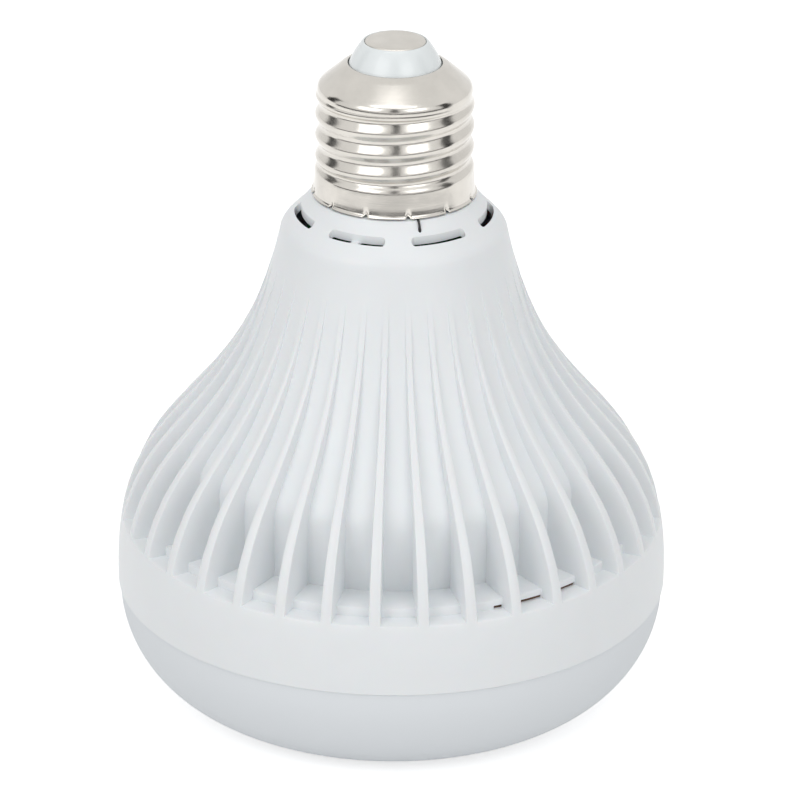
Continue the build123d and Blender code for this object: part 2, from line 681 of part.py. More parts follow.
# Speaker frame: pressed basket with a spider shelf and six windows
with BuildPart() as speaker_frame:
    with BuildSketch(Plane.XZ):
        Polygon(
            (FLANGE_R, SHELF_Z),
            (FLANGE_R, LEDGE_Z),
            (BASKET_R + 1, LEDGE_Z),
            (SPIDER_R + 1.8, SPIDER_Z + FLANGE_T),
            (SPIDER_R - 0.8, SPIDER_Z + FLANGE_T),
            (SPIDER_R - 0.8, PLATE_Z),
            (GAP_R + 0.3, PLATE_Z),
            (GAP_R + 0.3, PLATE_Z - FLANGE_T),
            (SPIDER_R - 1.6, PLATE_Z - FLANGE_T),
            (SPIDER_R - 1.6, SPIDER_Z),
            (SPIDER_R + 1.0, SPIDER_Z),
            (BASKET_R, SHELF_Z),
            align=None,
        )
    revolve(axis=Axis.Z)
    with BuildSketch(Plane.XY.offset(LEDGE_Z + 1.2)):
        with PolarLocations(BASKET_R, 6, start_angle=30):
            Rectangle(*BASKET_WINDOW)
    extrude(amount=SPIDER_Z - LEDGE_Z - 2.4, mode=Mode.SUBTRACT)
    with BuildSketch(Plane.XY.offset(LEDGE_Z)):
        with PolarLocations(SPEAKER_SCREW_R, 4, start_angle=45):
            Circle(SMALL_SCREW_R + 0.1)
    extrude(amount=-FLANGE_T, mode=Mode.SUBTRACT)
speaker_frame.part.label = "speaker_frame"
export_step(speaker_frame.part, "parts/speaker_frame.step")

with BuildPart() as speaker_screws:
    with Locations((0, 0, SHELF_Z)):
        with PolarLocations(SPEAKER_SCREW_R, 4, start_angle=45):
            add(pan_screw(FLANGE_T + 1.6, SPEAKER_HEAD_R, SMALL_SCREW_R - 0.02, SPEAKER_HEAD_H))
speaker_screws.part.label = "speaker_screws"
export_step(speaker_screws.part, "parts/speaker_screws.step")

# Magnet system: front plate, ring magnet, and a yoke with the pole
with BuildPart() as front_plate:
    with BuildSketch(Plane.XY.offset(PLATE_Z)):
        Circle(PLATE_R)
        Circle(GAP_R, mode=Mode.SUBTRACT)
    extrude(amount=PLATE_T)
front_plate.part.label = "front_plate"
export_step(front_plate.part, "parts/front_plate.step")

with BuildPart() as magnet:
    with BuildSketch(Plane.XY.offset(PLATE_Z + PLATE_T)):
        Circle(MAGNET_R)
        Circle(GAP_R + 1.9, mode=Mode.SUBTRACT)
    extrude(amount=MAGNET_T)
magnet.part.label = "magnet"
export_step(magnet.part, "parts/magnet.step")

with BuildPart() as yoke:
    with BuildSketch(Plane.XY.offset(PLATE_Z + PLATE_T + MAGNET_T)):
        Circle(PLATE_R)
    extrude(amount=PLATE_T)
    chamfer(yoke.edges().sort_by(Axis.Z)[-1], 0.6)
    with BuildSketch(Plane.XY.offset(PLATE_Z)):
        Circle(POLE_R)
    extrude(amount=PLATE_T + MAGNET_T)
yoke.part.label = "yoke"
export_step(yoke.part, "parts/yoke.step")

# Moving cone: voice coil on its former, paper cone and dust cap
with BuildPart() as voice_coil:
    with BuildSketch(Plane.XZ):
        Polygon(
            (FORMER_R - 0.15, CONE_NECK_Z - 0.4),
            (FORMER_R, CONE_NECK_Z - 0.4),
            (FORMER_R, PLATE_Z - 0.8),
            (COIL_R, PLATE_Z - 0.8),
            (COIL_R, PLATE_Z + PLATE_T + 0.4),
            (FORMER_R - 0.15, PLATE_Z + PLATE_T + 0.4),
            align=None,
        )
    revolve(axis=Axis.Z)
voice_coil.part.label = "voice_coil"
export_step(voice_coil.part, "parts/voice_coil.step")

with BuildPart() as speaker_cone:
    with BuildSketch(Plane.XZ):
        with BuildLine():
            Polyline(
                (FORMER_R + 0.02, CONE_NECK_Z),
                (FORMER_R + 0.02, CONE_NECK_Z + CONE_T),
            )
            ThreePointArc(
                (FORMER_R + 0.02, CONE_NECK_Z + CONE_T),
                ((FORMER_R + CONE_R) / 2, CONE_EDGE_Z + (CONE_NECK_Z - CONE_EDGE_Z) * 0.42 + CONE_T),
                (CONE_R - 0.4, CONE_EDGE_Z + CONE_T),
            )
            Polyline(
                (CONE_R - 0.4, CONE_EDGE_Z + CONE_T),
                (CONE_R + 0.7, CONE_EDGE_Z + CONE_T),
                (CONE_R + 0.7, CONE_EDGE_Z),
                (CONE_R - 0.4, CONE_EDGE_Z),
            )
            ThreePointArc(
                (CONE_R - 0.4, CONE_EDGE_Z),
                ((FORMER_R + CONE_R) / 2, CONE_EDGE_Z + (CONE_NECK_Z - CONE_EDGE_Z) * 0.42),
                (FORMER_R + 0.02, CONE_NECK_Z),
            )
        make_face()
    revolve(axis=Axis.Z)
speaker_cone.part.label = "speaker_cone"
export_step(speaker_cone.part, "parts/speaker_cone.step")

with BuildPart() as dust_cap:
    with BuildSketch(Plane.XZ):
        Polygon(
            (0, CAP_TOP_Z),
            (CAP_R * 0.25, CAP_TOP_Z),
            (CAP_R * 0.65, CAP_TOP_Z + CAP_SAG * 0.36),
            (CAP_R, CAP_RIM_Z),
            (CAP_R - 0.2, CAP_RIM_Z + CONE_T),
            (CAP_R * 0.65, CAP_TOP_Z + CAP_SAG * 0.36 + CONE_T),
            (CAP_R * 0.25, CAP_TOP_Z + CONE_T),
            (0, CAP_TOP_Z + CONE_T),
            align=None,
        )
    revolve(axis=Axis.Z)
dust_cap.part.label = "dust_cap"
export_step(dust_cap.part, "parts/dust_cap.step")

# Suspension: rubber surround with its gasket, and the corrugated spider
with BuildPart() as surround:
    with BuildSketch(Plane.XZ):
        with BuildLine() as roll:
            Polyline(
                (ROLL_IN_R - 1.1, CONE_EDGE_Z - ROLL_T * 0.65),
                (ROLL_IN_R - 0.2, CONE_EDGE_Z - ROLL_T * 0.65),
                (ROLL_IN_R + 0.35, CONE_EDGE_Z - ROLL_R * 0.85),
                (ROLL_IN_R + ROLL_R * 0.65, CONE_EDGE_Z - ROLL_R - ROLL_T),
                (ROLL_OUT_R - ROLL_R * 0.65, CONE_EDGE_Z - ROLL_R - ROLL_T),
                (ROLL_OUT_R - 0.5, CONE_EDGE_Z - ROLL_R * 0.95),
                (ROLL_OUT_R - 0.1, SHELF_Z - ROLL_T * 0.65),
                (ROLL_OUT_R + 1.1, SHELF_Z - ROLL_T * 0.65),
            )
        trace(roll.line, line_width=ROLL_T)
    revolve(axis=Axis.Z)
surround.part.label = "surround"
export_step(surround.part, "parts/surround.step")

with BuildPart() as gasket:
    with BuildSketch(Plane.XY.offset(SHELF_Z - ROLL_T - 0.1)):
        Circle(ROLL_OUT_R + 1.1)
        Circle(ROLL_OUT_R + 0.3, mode=Mode.SUBTRACT)
    extrude(amount=-GASKET_T)
gasket.part.label = "gasket"
export_step(gasket.part, "parts/gasket.step")

with BuildPart() as spider:
    with BuildSketch(Plane.XZ):
        with BuildLine() as corrugation:
            Polyline(
                (FORMER_R + 0.25, SPIDER_Z - 0.6),
                *[
                    (FORMER_R + 0.9 + SPIDER_PITCH * k, SPIDER_Z - 0.6 + SPIDER_WAVE * (-1) ** k)
                    for k in range(SPIDER_WAVES)
                ],
                (SPIDER_R - 1.0, SPIDER_Z - 0.15),
                (SPIDER_R + 0.5, SPIDER_Z - 0.15),
            )
        trace(corrugation.line, line_width=SPIDER_T)
    revolve(axis=Axis.Z)
spider.part.label = "spider"
export_step(spider.part, "parts/spider.step")

with BuildPart() as terminal_strip:
    with BuildSketch(Plane.XY.offset(SPIDER_Z + FLANGE_T + 0.02)):
        with Locations((SPIDER_R + 0.6, 0)):
            Rectangle(STRIP_T, STRIP_W)
    extrude(amount=STRIP_H)
    with BuildSketch(Plane.YZ.offset(SPIDER_R + 1.1)):
        with Locations((-2, TERMINAL_Z), (2, TERMINAL_Z)):
            Circle(EYELET_R)
    extrude(amount=0.3)
terminal_strip.part.label = "terminal_strip"
export_step(terminal_strip.part, "parts/terminal_strip.step")

with BuildPart() as speaker_leads:
    for side in (-2, 2):
        add(
            lead(
                [
                    (SPIDER_R + 1.45, side, TERMINAL_Z),
                    (SPEAKER_LEAD_X, side, TERMINAL_Z),
                    (SPEAKER_LEAD_X, side, AUDIO_BOARD_Z - LEAD_DROP),
                    (AUDIO_W / 2 - 3, side, AUDIO_BOARD_Z - LEAD_DROP),
                    (AUDIO_W / 2 - 3, side, AUDIO_BOARD_Z - 0.05),
                ],
                LEAD_R,
            )
        )
speaker_leads.part.label = "speaker_leads"
export_step(speaker_leads.part, "parts/speaker_leads.step")

with BuildPart() as led_leads:
    for side in (-1.2, 1.2):
        add(
            lead(
                [
                    (side, LED_LEAD_Y, LED_BOARD_Z + BOARD_T + 0.05),
                    (side, LED_LEAD_Y, AUDIO_BOARD_Z - LEAD_DROP),
                    (side, AUDIO_Y + AUDIO_D / 2 - 2, AUDIO_BOARD_Z - LEAD_DROP),
                    (side, AUDIO_Y + AUDIO_D / 2 - 2, AUDIO_BOARD_Z - 0.05),
                ],
                LEAD_R,
            )
        )
led_leads.part.label = "led_leads"
export_step(led_leads.part, "parts/led_leads.step")

# Audio board on the posts of the pod, with its radio module, amplifier and reservoir capacitor
with BuildPart() as audio_board:
    with BuildSketch(Plane.XY.offset(AUDIO_BOARD_Z)):
        with Locations((0, AUDIO_Y)):
            RectangleRounded(AUDIO_W, AUDIO_D, 1.5)
        with Locations(*AUDIO_POSTS):
            Circle(SMALL_SCREW_R + 0.1, mode=Mode.SUBTRACT)
    extrude(amount=PCB_T)
audio_board.part.label = "audio_board"
export_step(audio_board.part, "parts/audio_board.step")

with BuildPart() as audio_board_screws:
    for x, y in AUDIO_POSTS:
        with Locations(Location((x, y, MODULE_Z), (180, 0, 0))):
            add(pan_screw(PCB_T + AUDIO_SCREW_L - 0.4, AUDIO_HEAD_R, SMALL_SCREW_R - 0.02, AUDIO_HEAD_H))
audio_board_screws.part.label = "audio_board_screws"
export_step(audio_board_screws.part, "parts/audio_board_screws.step")

with BuildPart() as bluetooth_module:
    with BuildSketch(Plane.XY.offset(MODULE_Z)):
        with Locations((-6, AUDIO_Y + 3.5)):
            Rectangle(MODULE_SIZE[0], MODULE_SIZE[1])
    extrude(amount=MODULE_SIZE[2])
    with BuildSketch(Plane.XY.offset(MODULE_Z + MODULE_SIZE[2])):
        with Locations((-6, AUDIO_Y + 2)):
            Rectangle(SHIELD_SIZE[0], SHIELD_SIZE[1])
    extrude(amount=SHIELD_SIZE[2])
bluetooth_module.part.label = "bluetooth_module"
export_step(bluetooth_module.part, "parts/bluetooth_module.step")

with BuildPart() as amplifier_chip:
    with BuildSketch(Plane.XY.offset(MODULE_Z)):
        with GridLocations(CHIP_PITCH, CHIP_SIZE[1] + 0.8, 4, 2):
            with Locations((CHIP_X, AUDIO_Y - 1)):
                Rectangle(CHIP_LEG[0], CHIP_LEG[1])
    extrude(amount=CHIP_LEG[2])
    with BuildSketch(Plane.XY.offset(MODULE_Z + 0.15)):
        with Locations((CHIP_X, AUDIO_Y - 1)):
            Rectangle(CHIP_SIZE[0], CHIP_SIZE[1])
    extrude(amount=CHIP_SIZE[2])
amplifier_chip.part.label = "amplifier_chip"
export_step(amplifier_chip.part, "parts/amplifier_chip.step")


def can_capacitor(x, y, z, radius, height):
    """Electrolytic capacitor that stands at z, with its rolled-in neck near the base."""
    with BuildPart() as can:
        with BuildSketch(Plane.XZ):
            Polygon(
                (0, 0),
                (radius - 0.3, 0),
                (radius, 0.5),
                (radius, 1.1),
                (radius - 0.4, 1.6),
                (radius, 2.1),
                (radius, height - 0.4),
                (radius - 0.4, height),
                (0, height),
                align=None,
            )
        revolve(axis=Axis.Z)
    return can.part.moved(Location((x, y, z)))


with BuildPart() as output_capacitor:
    add(can_capacitor(11, AUDIO_Y + 5.6, MODULE_Z, CAN_R, OUTPUT_CAN_H))
output_capacitor.part.label = "output_capacitor"
export_step(output_capacitor.part, "parts/output_capacitor.step")

with BuildPart() as link_pins:
    with BuildSketch(Plane.XY.offset(POWER_FOOT_Z - 0.03)):
        with Locations((0, POWER_Y - 0.4)):
            with GridLocations(LINK_PITCH, 1, 4, 1):
                Rectangle(LINK_PIN, LINK_PIN)
    extrude(amount=LINK_PIN_L)
link_pins.part.label = "link_pins"
export_step(link_pins.part, "parts/link_pins.step")

# Power board: stands on edge in the guides of the housing, narrow where it goes up into the neck
with BuildPart() as power_board:
    with BuildSketch(Plane.XZ.offset(-POWER_Y)):
        Polygon(
            (-POWER_HALF_W, POWER_FOOT_Z),
            (POWER_HALF_W, POWER_FOOT_Z),
            (POWER_HALF_W, CHANNEL_END_Z - 9),
            (NECK_HALF_W, CHANNEL_END_Z + 1),
            (NECK_HALF_W, POWER_TOP_Z),
            (-NECK_HALF_W, POWER_TOP_Z),
            (-NECK_HALF_W, CHANNEL_END_Z + 1),
            (-POWER_HALF_W, CHANNEL_END_Z - 9),
            align=None,
        )
    extrude(amount=-PCB_T)
power_board.part.label = "power_board"
export_step(power_board.part, "parts/power_board.step")

# Transformer: an E core in two halves round one coil
with BuildPart() as transformer_core:
    with BuildSketch(Plane.XZ.offset(-TRANSFORMER_Y - CORE_SIZE[2] / 2)):
        with Locations((0, TRANSFORMER_Z)):
            Rectangle(CORE_SIZE[0], CORE_SIZE[1])
        with Locations((-4.2, TRANSFORMER_Z), (4.2, TRANSFORMER_Z)):
            Rectangle(*CORE_WINDOW, mode=Mode.SUBTRACT)
    extrude(amount=CORE_SIZE[2])
transformer_core.part.label = "transformer_core"
export_step(transformer_core.part, "parts/transformer_core.step")

with BuildPart() as transformer_coil:
    with BuildSketch(Plane.XY.offset(TRANSFORMER_Z - COIL_SIZE[2] / 2)):
        with Locations((0, TRANSFORMER_Y)):
            RectangleRounded(COIL_SIZE[0], COIL_SIZE[1], 1.5)
            Rectangle(4.7, CORE_SIZE[2] + 0.1, mode=Mode.SUBTRACT)
    extrude(amount=COIL_SIZE[2])
transformer_coil.part.label = "transformer_coil"
export_step(transformer_coil.part, "parts/transformer_coil.step")

with BuildPart() as mains_capacitor:
    add(can_capacitor(-8.6, PARTS_Y + CAN_R + 0.05, POWER_TOP_Z - 12.8, CAN_R, MAINS_CAN_H))
mains_capacitor.part.label = "mains_capacitor"
export_step(mains_capacitor.part, "parts/mains_capacitor.step")

with BuildPart() as film_capacitor:
    with BuildSketch(Plane.XY.offset(POWER_TOP_Z - 9.0)):
        with Locations((9.2, PARTS_Y + FILM_SIZE[1] / 2 + 0.05)):
            Rectangle(FILM_SIZE[0], FILM_SIZE[1])
    extrude(amount=FILM_SIZE[2])
    fillet(film_capacitor.edges().filter_by(Axis.Z), 1.2)
film_capacitor.part.label = "film_capacitor"
export_step(film_capacitor.part, "parts/film_capacitor.step")

with BuildPart() as bobbin:
    with BuildSketch(Plane.XZ):
        Polygon(
            (0, 0),
            (INDUCTOR_R, 0),
            (INDUCTOR_R, INDUCTOR_RIM),
            (INDUCTOR_R - 0.6, INDUCTOR_RIM),
            (INDUCTOR_R - 0.6, INDUCTOR_H - INDUCTOR_RIM),
            (INDUCTOR_R, INDUCTOR_H - INDUCTOR_RIM),
            (INDUCTOR_R, INDUCTOR_H),
            (0, INDUCTOR_H),
            align=None,
        )
    revolve(axis=Axis.Z)
with BuildPart() as inductor:
    add(bobbin.part.moved(Location((5.6, PARTS_Y + INDUCTOR_R + 0.05, POWER_TOP_Z - 18.0))))
inductor.part.label = "inductor"
export_step(inductor.part, "parts/inductor.step")

with BuildPart() as bridge_rectifier:
    with BuildSketch(Plane.XZ.offset(-POWER_Y)):
        with Locations((5, POWER_TOP_Z - 14.4)):
            Rectangle(BRIDGE_SIZE[0], BRIDGE_SIZE[1])
    extrude(amount=BRIDGE_SIZE[2])
    with BuildSketch(Plane.XZ.offset(-POWER_Y)):
        with Locations((5, POWER_TOP_Z - 14.4)):
            with GridLocations(2.6, BRIDGE_SIZE[1] + BRIDGE_LEG[1], 2, 2):
                Rectangle(BRIDGE_LEG[0], BRIDGE_LEG[1])
    extrude(amount=BRIDGE_LEG[2])
bridge_rectifier.part.label = "bridge_rectifier"
export_step(bridge_rectifier.part, "parts/bridge_rectifier.step")

# Fusible resistor upright in the spigot, and the leads to both contacts
with BuildPart() as fusible_resistor:
    with BuildSketch(Plane.XZ):
        Polygon(
            (0, RESISTOR_Z),
            (RESISTOR_R, RESISTOR_Z),
            (RESISTOR_R, RESISTOR_Z + 1.6),
            (RESISTOR_WAIST_R, RESISTOR_Z + 2.2),
            (RESISTOR_WAIST_R, RESISTOR_Z + RESISTOR_L - 2.2),
            (RESISTOR_R, RESISTOR_Z + RESISTOR_L - 1.6),
            (RESISTOR_R, RESISTOR_Z + RESISTOR_L),
            (WIRE_R, RESISTOR_Z + RESISTOR_L),
            (WIRE_R, RESISTOR_Z + RESISTOR_L + 2.9),
            (0, RESISTOR_Z + RESISTOR_L + 2.9),
            align=None,
        )
    revolve(axis=Axis.Z)
    add(
        lead(
            [
                (0, 0, RESISTOR_Z + 0.1),
                (0, 0, NECK_TOP_Z - 1.9),
                (0, PARTS_Y + WIRE_R + 0.05, NECK_TOP_Z - 2.3),
                (0, PARTS_Y + WIRE_R + 0.05, POWER_TOP_Z - 1.4),
            ],
            WIRE_R,
        )
    )
fusible_resistor.part.label = "fusible_resistor"
export_step(fusible_resistor.part, "parts/fusible_resistor.step")

with BuildPart() as live_lead:
    add(
        lead(
            [
                (0, 0, RESISTOR_Z + RESISTOR_L + 2.95),
                (0, 0, NECK_TOP_Z + 14.5),
                (1.4, 0, NECK_TOP_Z + 15.9),
                (1.4, 0, NECK_TOP_Z + CROWN_Z + 0.1),
            ],
            LIVE_R,
        )
    )
live_lead.part.label = "live_lead"
export_step(live_lead.part, "parts/live_lead.step")

with BuildPart() as neutral_lead:
    add(
        lead(
            [
                (3.0, POWER_Y - NEUTRAL_R - 0.05, POWER_TOP_Z - 9.4),
                (3.0, POWER_Y - NEUTRAL_R - 0.05, POWER_TOP_Z - 6.4),
                polar(VENT_R - 0.25, NEUTRAL_ANGLE, COLLAR_Z),
                polar(VENT_R - 0.25, NEUTRAL_ANGLE, NECK_TOP_Z - NEUTRAL_R),
                polar((SPIGOT_R + CREST_R - SHEET) / 2, NEUTRAL_ANGLE, NECK_TOP_Z - NEUTRAL_R),
                polar((SPIGOT_R + CREST_R - SHEET) / 2, NEUTRAL_ANGLE, NECK_TOP_Z + 2.3),
            ],
            NEUTRAL_R,
        )
    )
neutral_lead.part.label = "neutral_lead"
export_step(neutral_lead.part, "parts/neutral_lead.step")
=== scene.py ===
"""Speaker light bulb: the visible pieces, finishes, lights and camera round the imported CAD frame.

Lengths in the tables are millimetres and are scaled to metres where a piece is made.
The bulb stands on its light face at z = 0, and the camera looks along +Y from the front.
"""
import json
from math import acos, atan2, cos, degrees, hypot, pi, radians, sin, sqrt, tan

import bmesh
import bpy
from bpy.props import FloatProperty, FloatVectorProperty, IntProperty, PointerProperty
from mathutils import Matrix, Vector
from mathutils.geometry import interpolate_bezier


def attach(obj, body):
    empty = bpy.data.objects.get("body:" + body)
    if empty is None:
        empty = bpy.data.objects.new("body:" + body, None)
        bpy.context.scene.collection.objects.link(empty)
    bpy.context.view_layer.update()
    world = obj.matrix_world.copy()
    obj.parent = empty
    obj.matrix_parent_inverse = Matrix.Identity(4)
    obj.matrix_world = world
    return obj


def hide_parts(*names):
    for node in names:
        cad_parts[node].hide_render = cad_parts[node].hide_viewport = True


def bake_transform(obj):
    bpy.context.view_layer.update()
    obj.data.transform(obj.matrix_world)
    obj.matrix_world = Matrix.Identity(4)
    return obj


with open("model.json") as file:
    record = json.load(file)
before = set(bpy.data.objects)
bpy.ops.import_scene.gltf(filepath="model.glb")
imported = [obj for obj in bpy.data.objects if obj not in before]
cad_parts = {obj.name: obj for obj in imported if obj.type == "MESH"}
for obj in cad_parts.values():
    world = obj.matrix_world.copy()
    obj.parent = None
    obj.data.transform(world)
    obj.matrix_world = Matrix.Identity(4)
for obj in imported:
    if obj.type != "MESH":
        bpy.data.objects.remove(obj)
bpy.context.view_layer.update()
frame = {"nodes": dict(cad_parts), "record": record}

bl_info = {
    "name": "Speaker Light Bulb",
    "version": (1, 0, 0),
    "blender": (4, 5, 0),
    "location": "View3D > Sidebar > Bulb",
    "description": "Builds the visible pieces of a light bulb with a speaker round its packed frame",
    "category": "Object",
}

MM = 0.001
BODY = "lamp_body"
WHOLE_TURN = 2 * pi

# Housing, as (radius, height): the curve of the bell, of the channel floors and of the shoulder
BELL = ((46.6, 21.9), (46.6, 52.1), (26.5, 46.4), (18.8, 83.0))
FLOOR = ((36.0, 43.8), (36.0, 49.1), (26.2, 51.6), (20.05, 77.8))
SHOULDER = ((18.8, 83.0), (18.3, 84.6), (16.2, 85.6), (13.6, 89.1))
SEAM_Z = 19.6
RIM_FOOT = ((46.45, SEAM_Z), (46.6, SEAM_Z + 0.15))
RING_Z = 31.7
STEP = ((42.4, 31.7), (42.4, 33.3), (36.0, 33.3), (36.0, 43.8))
SPIGOT = ((13.0, 89.3), (11.6, 89.3), (11.6, 104.5), (9.8, 104.5), (9.8, 87.6))
INSIDE = (
    (12.8, 87.4), (14.2, 86.5), (15.35, 85.6), (16.2, 84.4), (17.0, 82.6), (19.3, 73.5), (24.9, 59.2),
    (29.9, 50.9), (33.3, 46.4), (34.4, 43.0), (34.4, 31.7), (41.0, 31.7), (41.0, 30.1), (44.9, 30.1),
    (44.9, 19.6),
)
# Heights of the rows below the channels, and of the ribs' rows over the step of the drum
FOOT_ROWS = (22.6, 25.0, 27.4, 29.6, RING_Z)
STEP_ROWS = (33.1, 34.8, 37.6)
RIB_CURVE_Z = 41.0
CURVE_ROWS = 14
CHANNEL_STEPS = 6
# Rounded edges: least angle, full depth of a channel, where the ribs' rounding ends, share on the step
EDGE_ANGLE = 30.0
EDGE_DEPTH = 1.3
EDGE_END_Z = 70.0
STEP_SHARE = 0.8

# Slots in the neck, slits at the foot of the drum and the hole of the lead; angles in degrees
VENT_RADIUS = 15.92
VENT_COUNT = 7
VENT_START = -58.3
VENT_ARC = 36.0
VENT_Z = (82.5, 90.0)
WEB_VENT = 6
WEB_ANGLE = -110.0
WEB_HALF = 2.0
WEB_TOP_Z = 85.8
SLITS = ((-63.5, 2.1), (-58.6, 7.2), (-48.6, 7.2))
SLIT_H = 0.55
SLIT_DEPTH = 0.5
# Strips at the back of the slits: thickness, overlap into the slit and extra angle at each end; brown board
# that also paints the shade in the slits
SHADE_STRIP_T = 0.42
SHADE_STRIP_LAP = 0.12
SHADE_STRIP_MORE = 0.3
LEAD_ANGLE = -70.0
LEAD_HOLE_AT = 14.6
LEAD_HOLE_R = 0.3
LEAD_HOLE_Z = 88.0
LEAD_HOLE_DEPTH = 7.0
LEAD_RUN = (
    (13.0, 89.2), (13.7, 89.25), (14.15, 88.95), (14.5, 88.5), (14.6, 87.8), (14.6, 86.0), (14.6, 80.0),
)
LEAD_R = 0.2

# Screw cap: its thread, then the foot and crown of its shell, as (radius, height)
CREST = 13.1
THREAD_DEPTH = 0.7
KNUCKLE = 1.025
PITCH = 3.629
CREST_OVER_X = 90.18
THREAD_FOOT = (93.4, 95.0)
THREAD_HEAD = (105.6, 106.8)
THREAD_ROWS = 58
SHELL_STEPS = 360
LIP = ((13.64, 89.42), (13.72, 89.5), (13.66, 89.6), (13.5, 89.68), (13.42, 89.78), (13.38, 89.95))
SKIRT = (
    (13.36, 90.15), (13.33, 90.4), (13.3, 90.7), (13.27, 91.2), (13.22, 92.0), (13.17, 92.8), (13.14, 93.4),
)
CROWN = (
    ((12.75, 106.8), (12.85, 107.7), (12.6, 108.1), (11.9, 108.65)),
    ((9.3, 110.9), (8.9, 111.22), (8.55, 111.45), (8.1, 111.65)),
)
CROWN_EDGE = ((7.95, 111.72), (7.8, 111.74), (7.72, 111.66))
# Stakes in the lip: angles in degrees, then how far they go in, up and along the shell
STAKE_START = 13.2
STAKE_PITCH = 30.0
STAKE_HALF = 1.9
STAKE_DEPTH = 0.75
STAKE_LIFT = 0.45
STAKE_TOP = 90.7

# Insulator and contact at the tip, as (radius, height)
INSULATOR_FOOT = ((1.25, 107.8), (9.8, 107.8), (9.8, 109.8), (7.65, 111.35))
INSULATOR_SIDE = ((7.62, 111.5), (7.3, 112.6), (6.1, 114.6), (5.35, 115.35))
INSULATOR_SEAT = ((5.24, 115.4), (5.14, 115.36), (5.08, 115.25), (5.08, 114.95), (1.25, 114.95))
CONTACT_FACE = ((0.0, 115.7), (2.4, 115.68))
CONTACT_EDGE = ((3.9, 115.65), (4.5, 115.62), (4.85, 115.55), (4.98, 115.3))
CONTACT_BACK = ((4.98, 115.0), (1.2, 115.0), (1.2, 107.75), (2.4, 107.75), (2.4, 107.25), (0.0, 107.25))

# Light ring, as (radius, height), and how far the inside of its bowl reaches in radius and height
BOWL_CENTRE = (28.0, 18.8)
BOWL_R = 18.25
BOWL_INSIDE_CENTRE = (29.6, 18.8)
BOWL_INSIDE = (13.5, 17.2)
FACE_LIP = ((27.6, 0.25), (27.85, 0.0))
RING_SKIRT = (
    (46.25, 19.5), (46.2, 19.59), (44.7, 19.59), (44.7, 23.4), (44.5, 23.6), (43.3, 23.6), (43.1, 23.4),
)
RING_COLLAR = ((29.0, 1.6), (29.0, 6.0), (27.4, 6.0))

# Grille, as (radius, height), and its slots: radius of their middles, count and length
GRILLE = (
    (0.0, 0.0), (26.9, 0.0), (27.2, 0.3), (27.2, 1.2), (25.7, 1.2), (25.7, 3.2), (24.9, 3.2), (24.9, 1.2),
    (0.0, 1.2),
)
GRILLE_SLOTS = ((19.3, 24, 8.0), (11.0, 16, 5.0), (5.2, 8, 3.4))
GRILLE_CUT = (-0.5, 1.8)

# Rubber roll and cloth that hold the cone, as (radius, height); the cloth bends between two radii
ROLL_OUTSIDE = ((20.2, 2.75), (21.6, 2.75), (21.7, 4.4), (21.8, 4.55))
ROLL_RIM = (22.7, 4.55)
ROLL_INSIDE = ((20.2, 2.75), (18.9, 2.75), (18.6, 4.6), (18.3, 5.15))
ROLL_HEM = (17.3, 5.15)
ROLL_T = 0.35
SPIDER_LINE = (
    (7.1, 11.4), (7.65, 11.75), (9.49, 11.05), (11.32, 11.75), (13.16, 11.05), (15.0, 11.85), (16.5, 11.85),
)
SPIDER_T = 0.2
SPIDER_SECTORS = 12

# Marks on the light ring: angle and height on its surface, half sizes, colour and strength; the two brownish
# ones are specks, the white one is a painted highlight
SPECKS_AND_PAINTED_GLINT = (
    (-38.7, 15.1, (0.35, 0.35, 0.85), "c98a45", 0.85),
    (-133.7, 19.1, (0.45, 0.45, 0.4), "ffffff", 0.9),
    (-163.7, 1.4, (0.4, 0.4, 0.4), "b9a48c", 0.5),
)

# Stage, in metres and watts. Lamps: name, place, power, width and height
FLOOR_HALF = 6.0
FLOOR_GREY = 0.8
FLOOR_GLOW = 0.6
SKY = (0.6, 1.0)
LAMPS = (
    ("key_left", (-0.75, -1.0, 0.85), 3.5, (0.8, 0.8)),
    ("fill_right", (0.75, -1.0, 0.85), 2.8, (0.7, 0.7)),
    ("top", (0.0, -0.45, 1.4), 2.6, (1.1, 0.3)),
)
LAMP_AIM = (0.0, 0.0, 0.06)
# Dark cards: radii of the one on the floor, then name, degrees to the right of the front, half width
# in degrees and heights of the upright ones
CARD_RING = (0.42, 2.0)
CARD_RING_Z = 0.002
CARD_DISTANCE = 1.45
CARDS = (
    ("card_left", -102.0, 9.0, 0.0, 1.2),
    ("card_right", 84.0, 9.0, 0.0, 1.2),
    ("card_front", 3.0, 6.0, 0.3, 1.9),
)
FELT = 0.05
# Camera: lens and sensor in millimetres, angles in degrees, distance and target in metres
LENS = 204.8
SENSOR = 36.0
SHIFT = (0.00925, -0.0098)
AZIMUTH = 3.3
ELEVATION = 23.785
ROLL = 0.46
DISTANCE = 0.7661
TARGET = (0.0, 0.0, 0.05285)
FAR_END = 20.0


def linear(code):
    """Linear colour of an sRGB hex value."""
    channels = [int(code[i:i + 2], 16) / 255 for i in (0, 2, 4)]
    return tuple(c / 12.92 if c <= 0.04045 else ((c + 0.055) / 1.055) ** 2.4 for c in channels)


# Shapes

def curve(handles, count, start=0.0, end=1.0):
    """Points of a cubic curve between two shares of its length in its own parameter."""
    corners = [Vector(h) for h in handles]
    if (start, end) != (0.0, 1.0):
        def split(points, share):
            first, last = [points[0]], [points[-1]]
            while len(points) > 1:
                points = [a.lerp(b, share) for a, b in zip(points, points[1:])]
                first.append(points[0])
                last.append(points[-1])
            return first, last[::-1]
        corners = split(corners, end)[0]
        corners = split(corners, start / end)[1]
    return [tuple(p) for p in interpolate_bezier(*corners, count)]


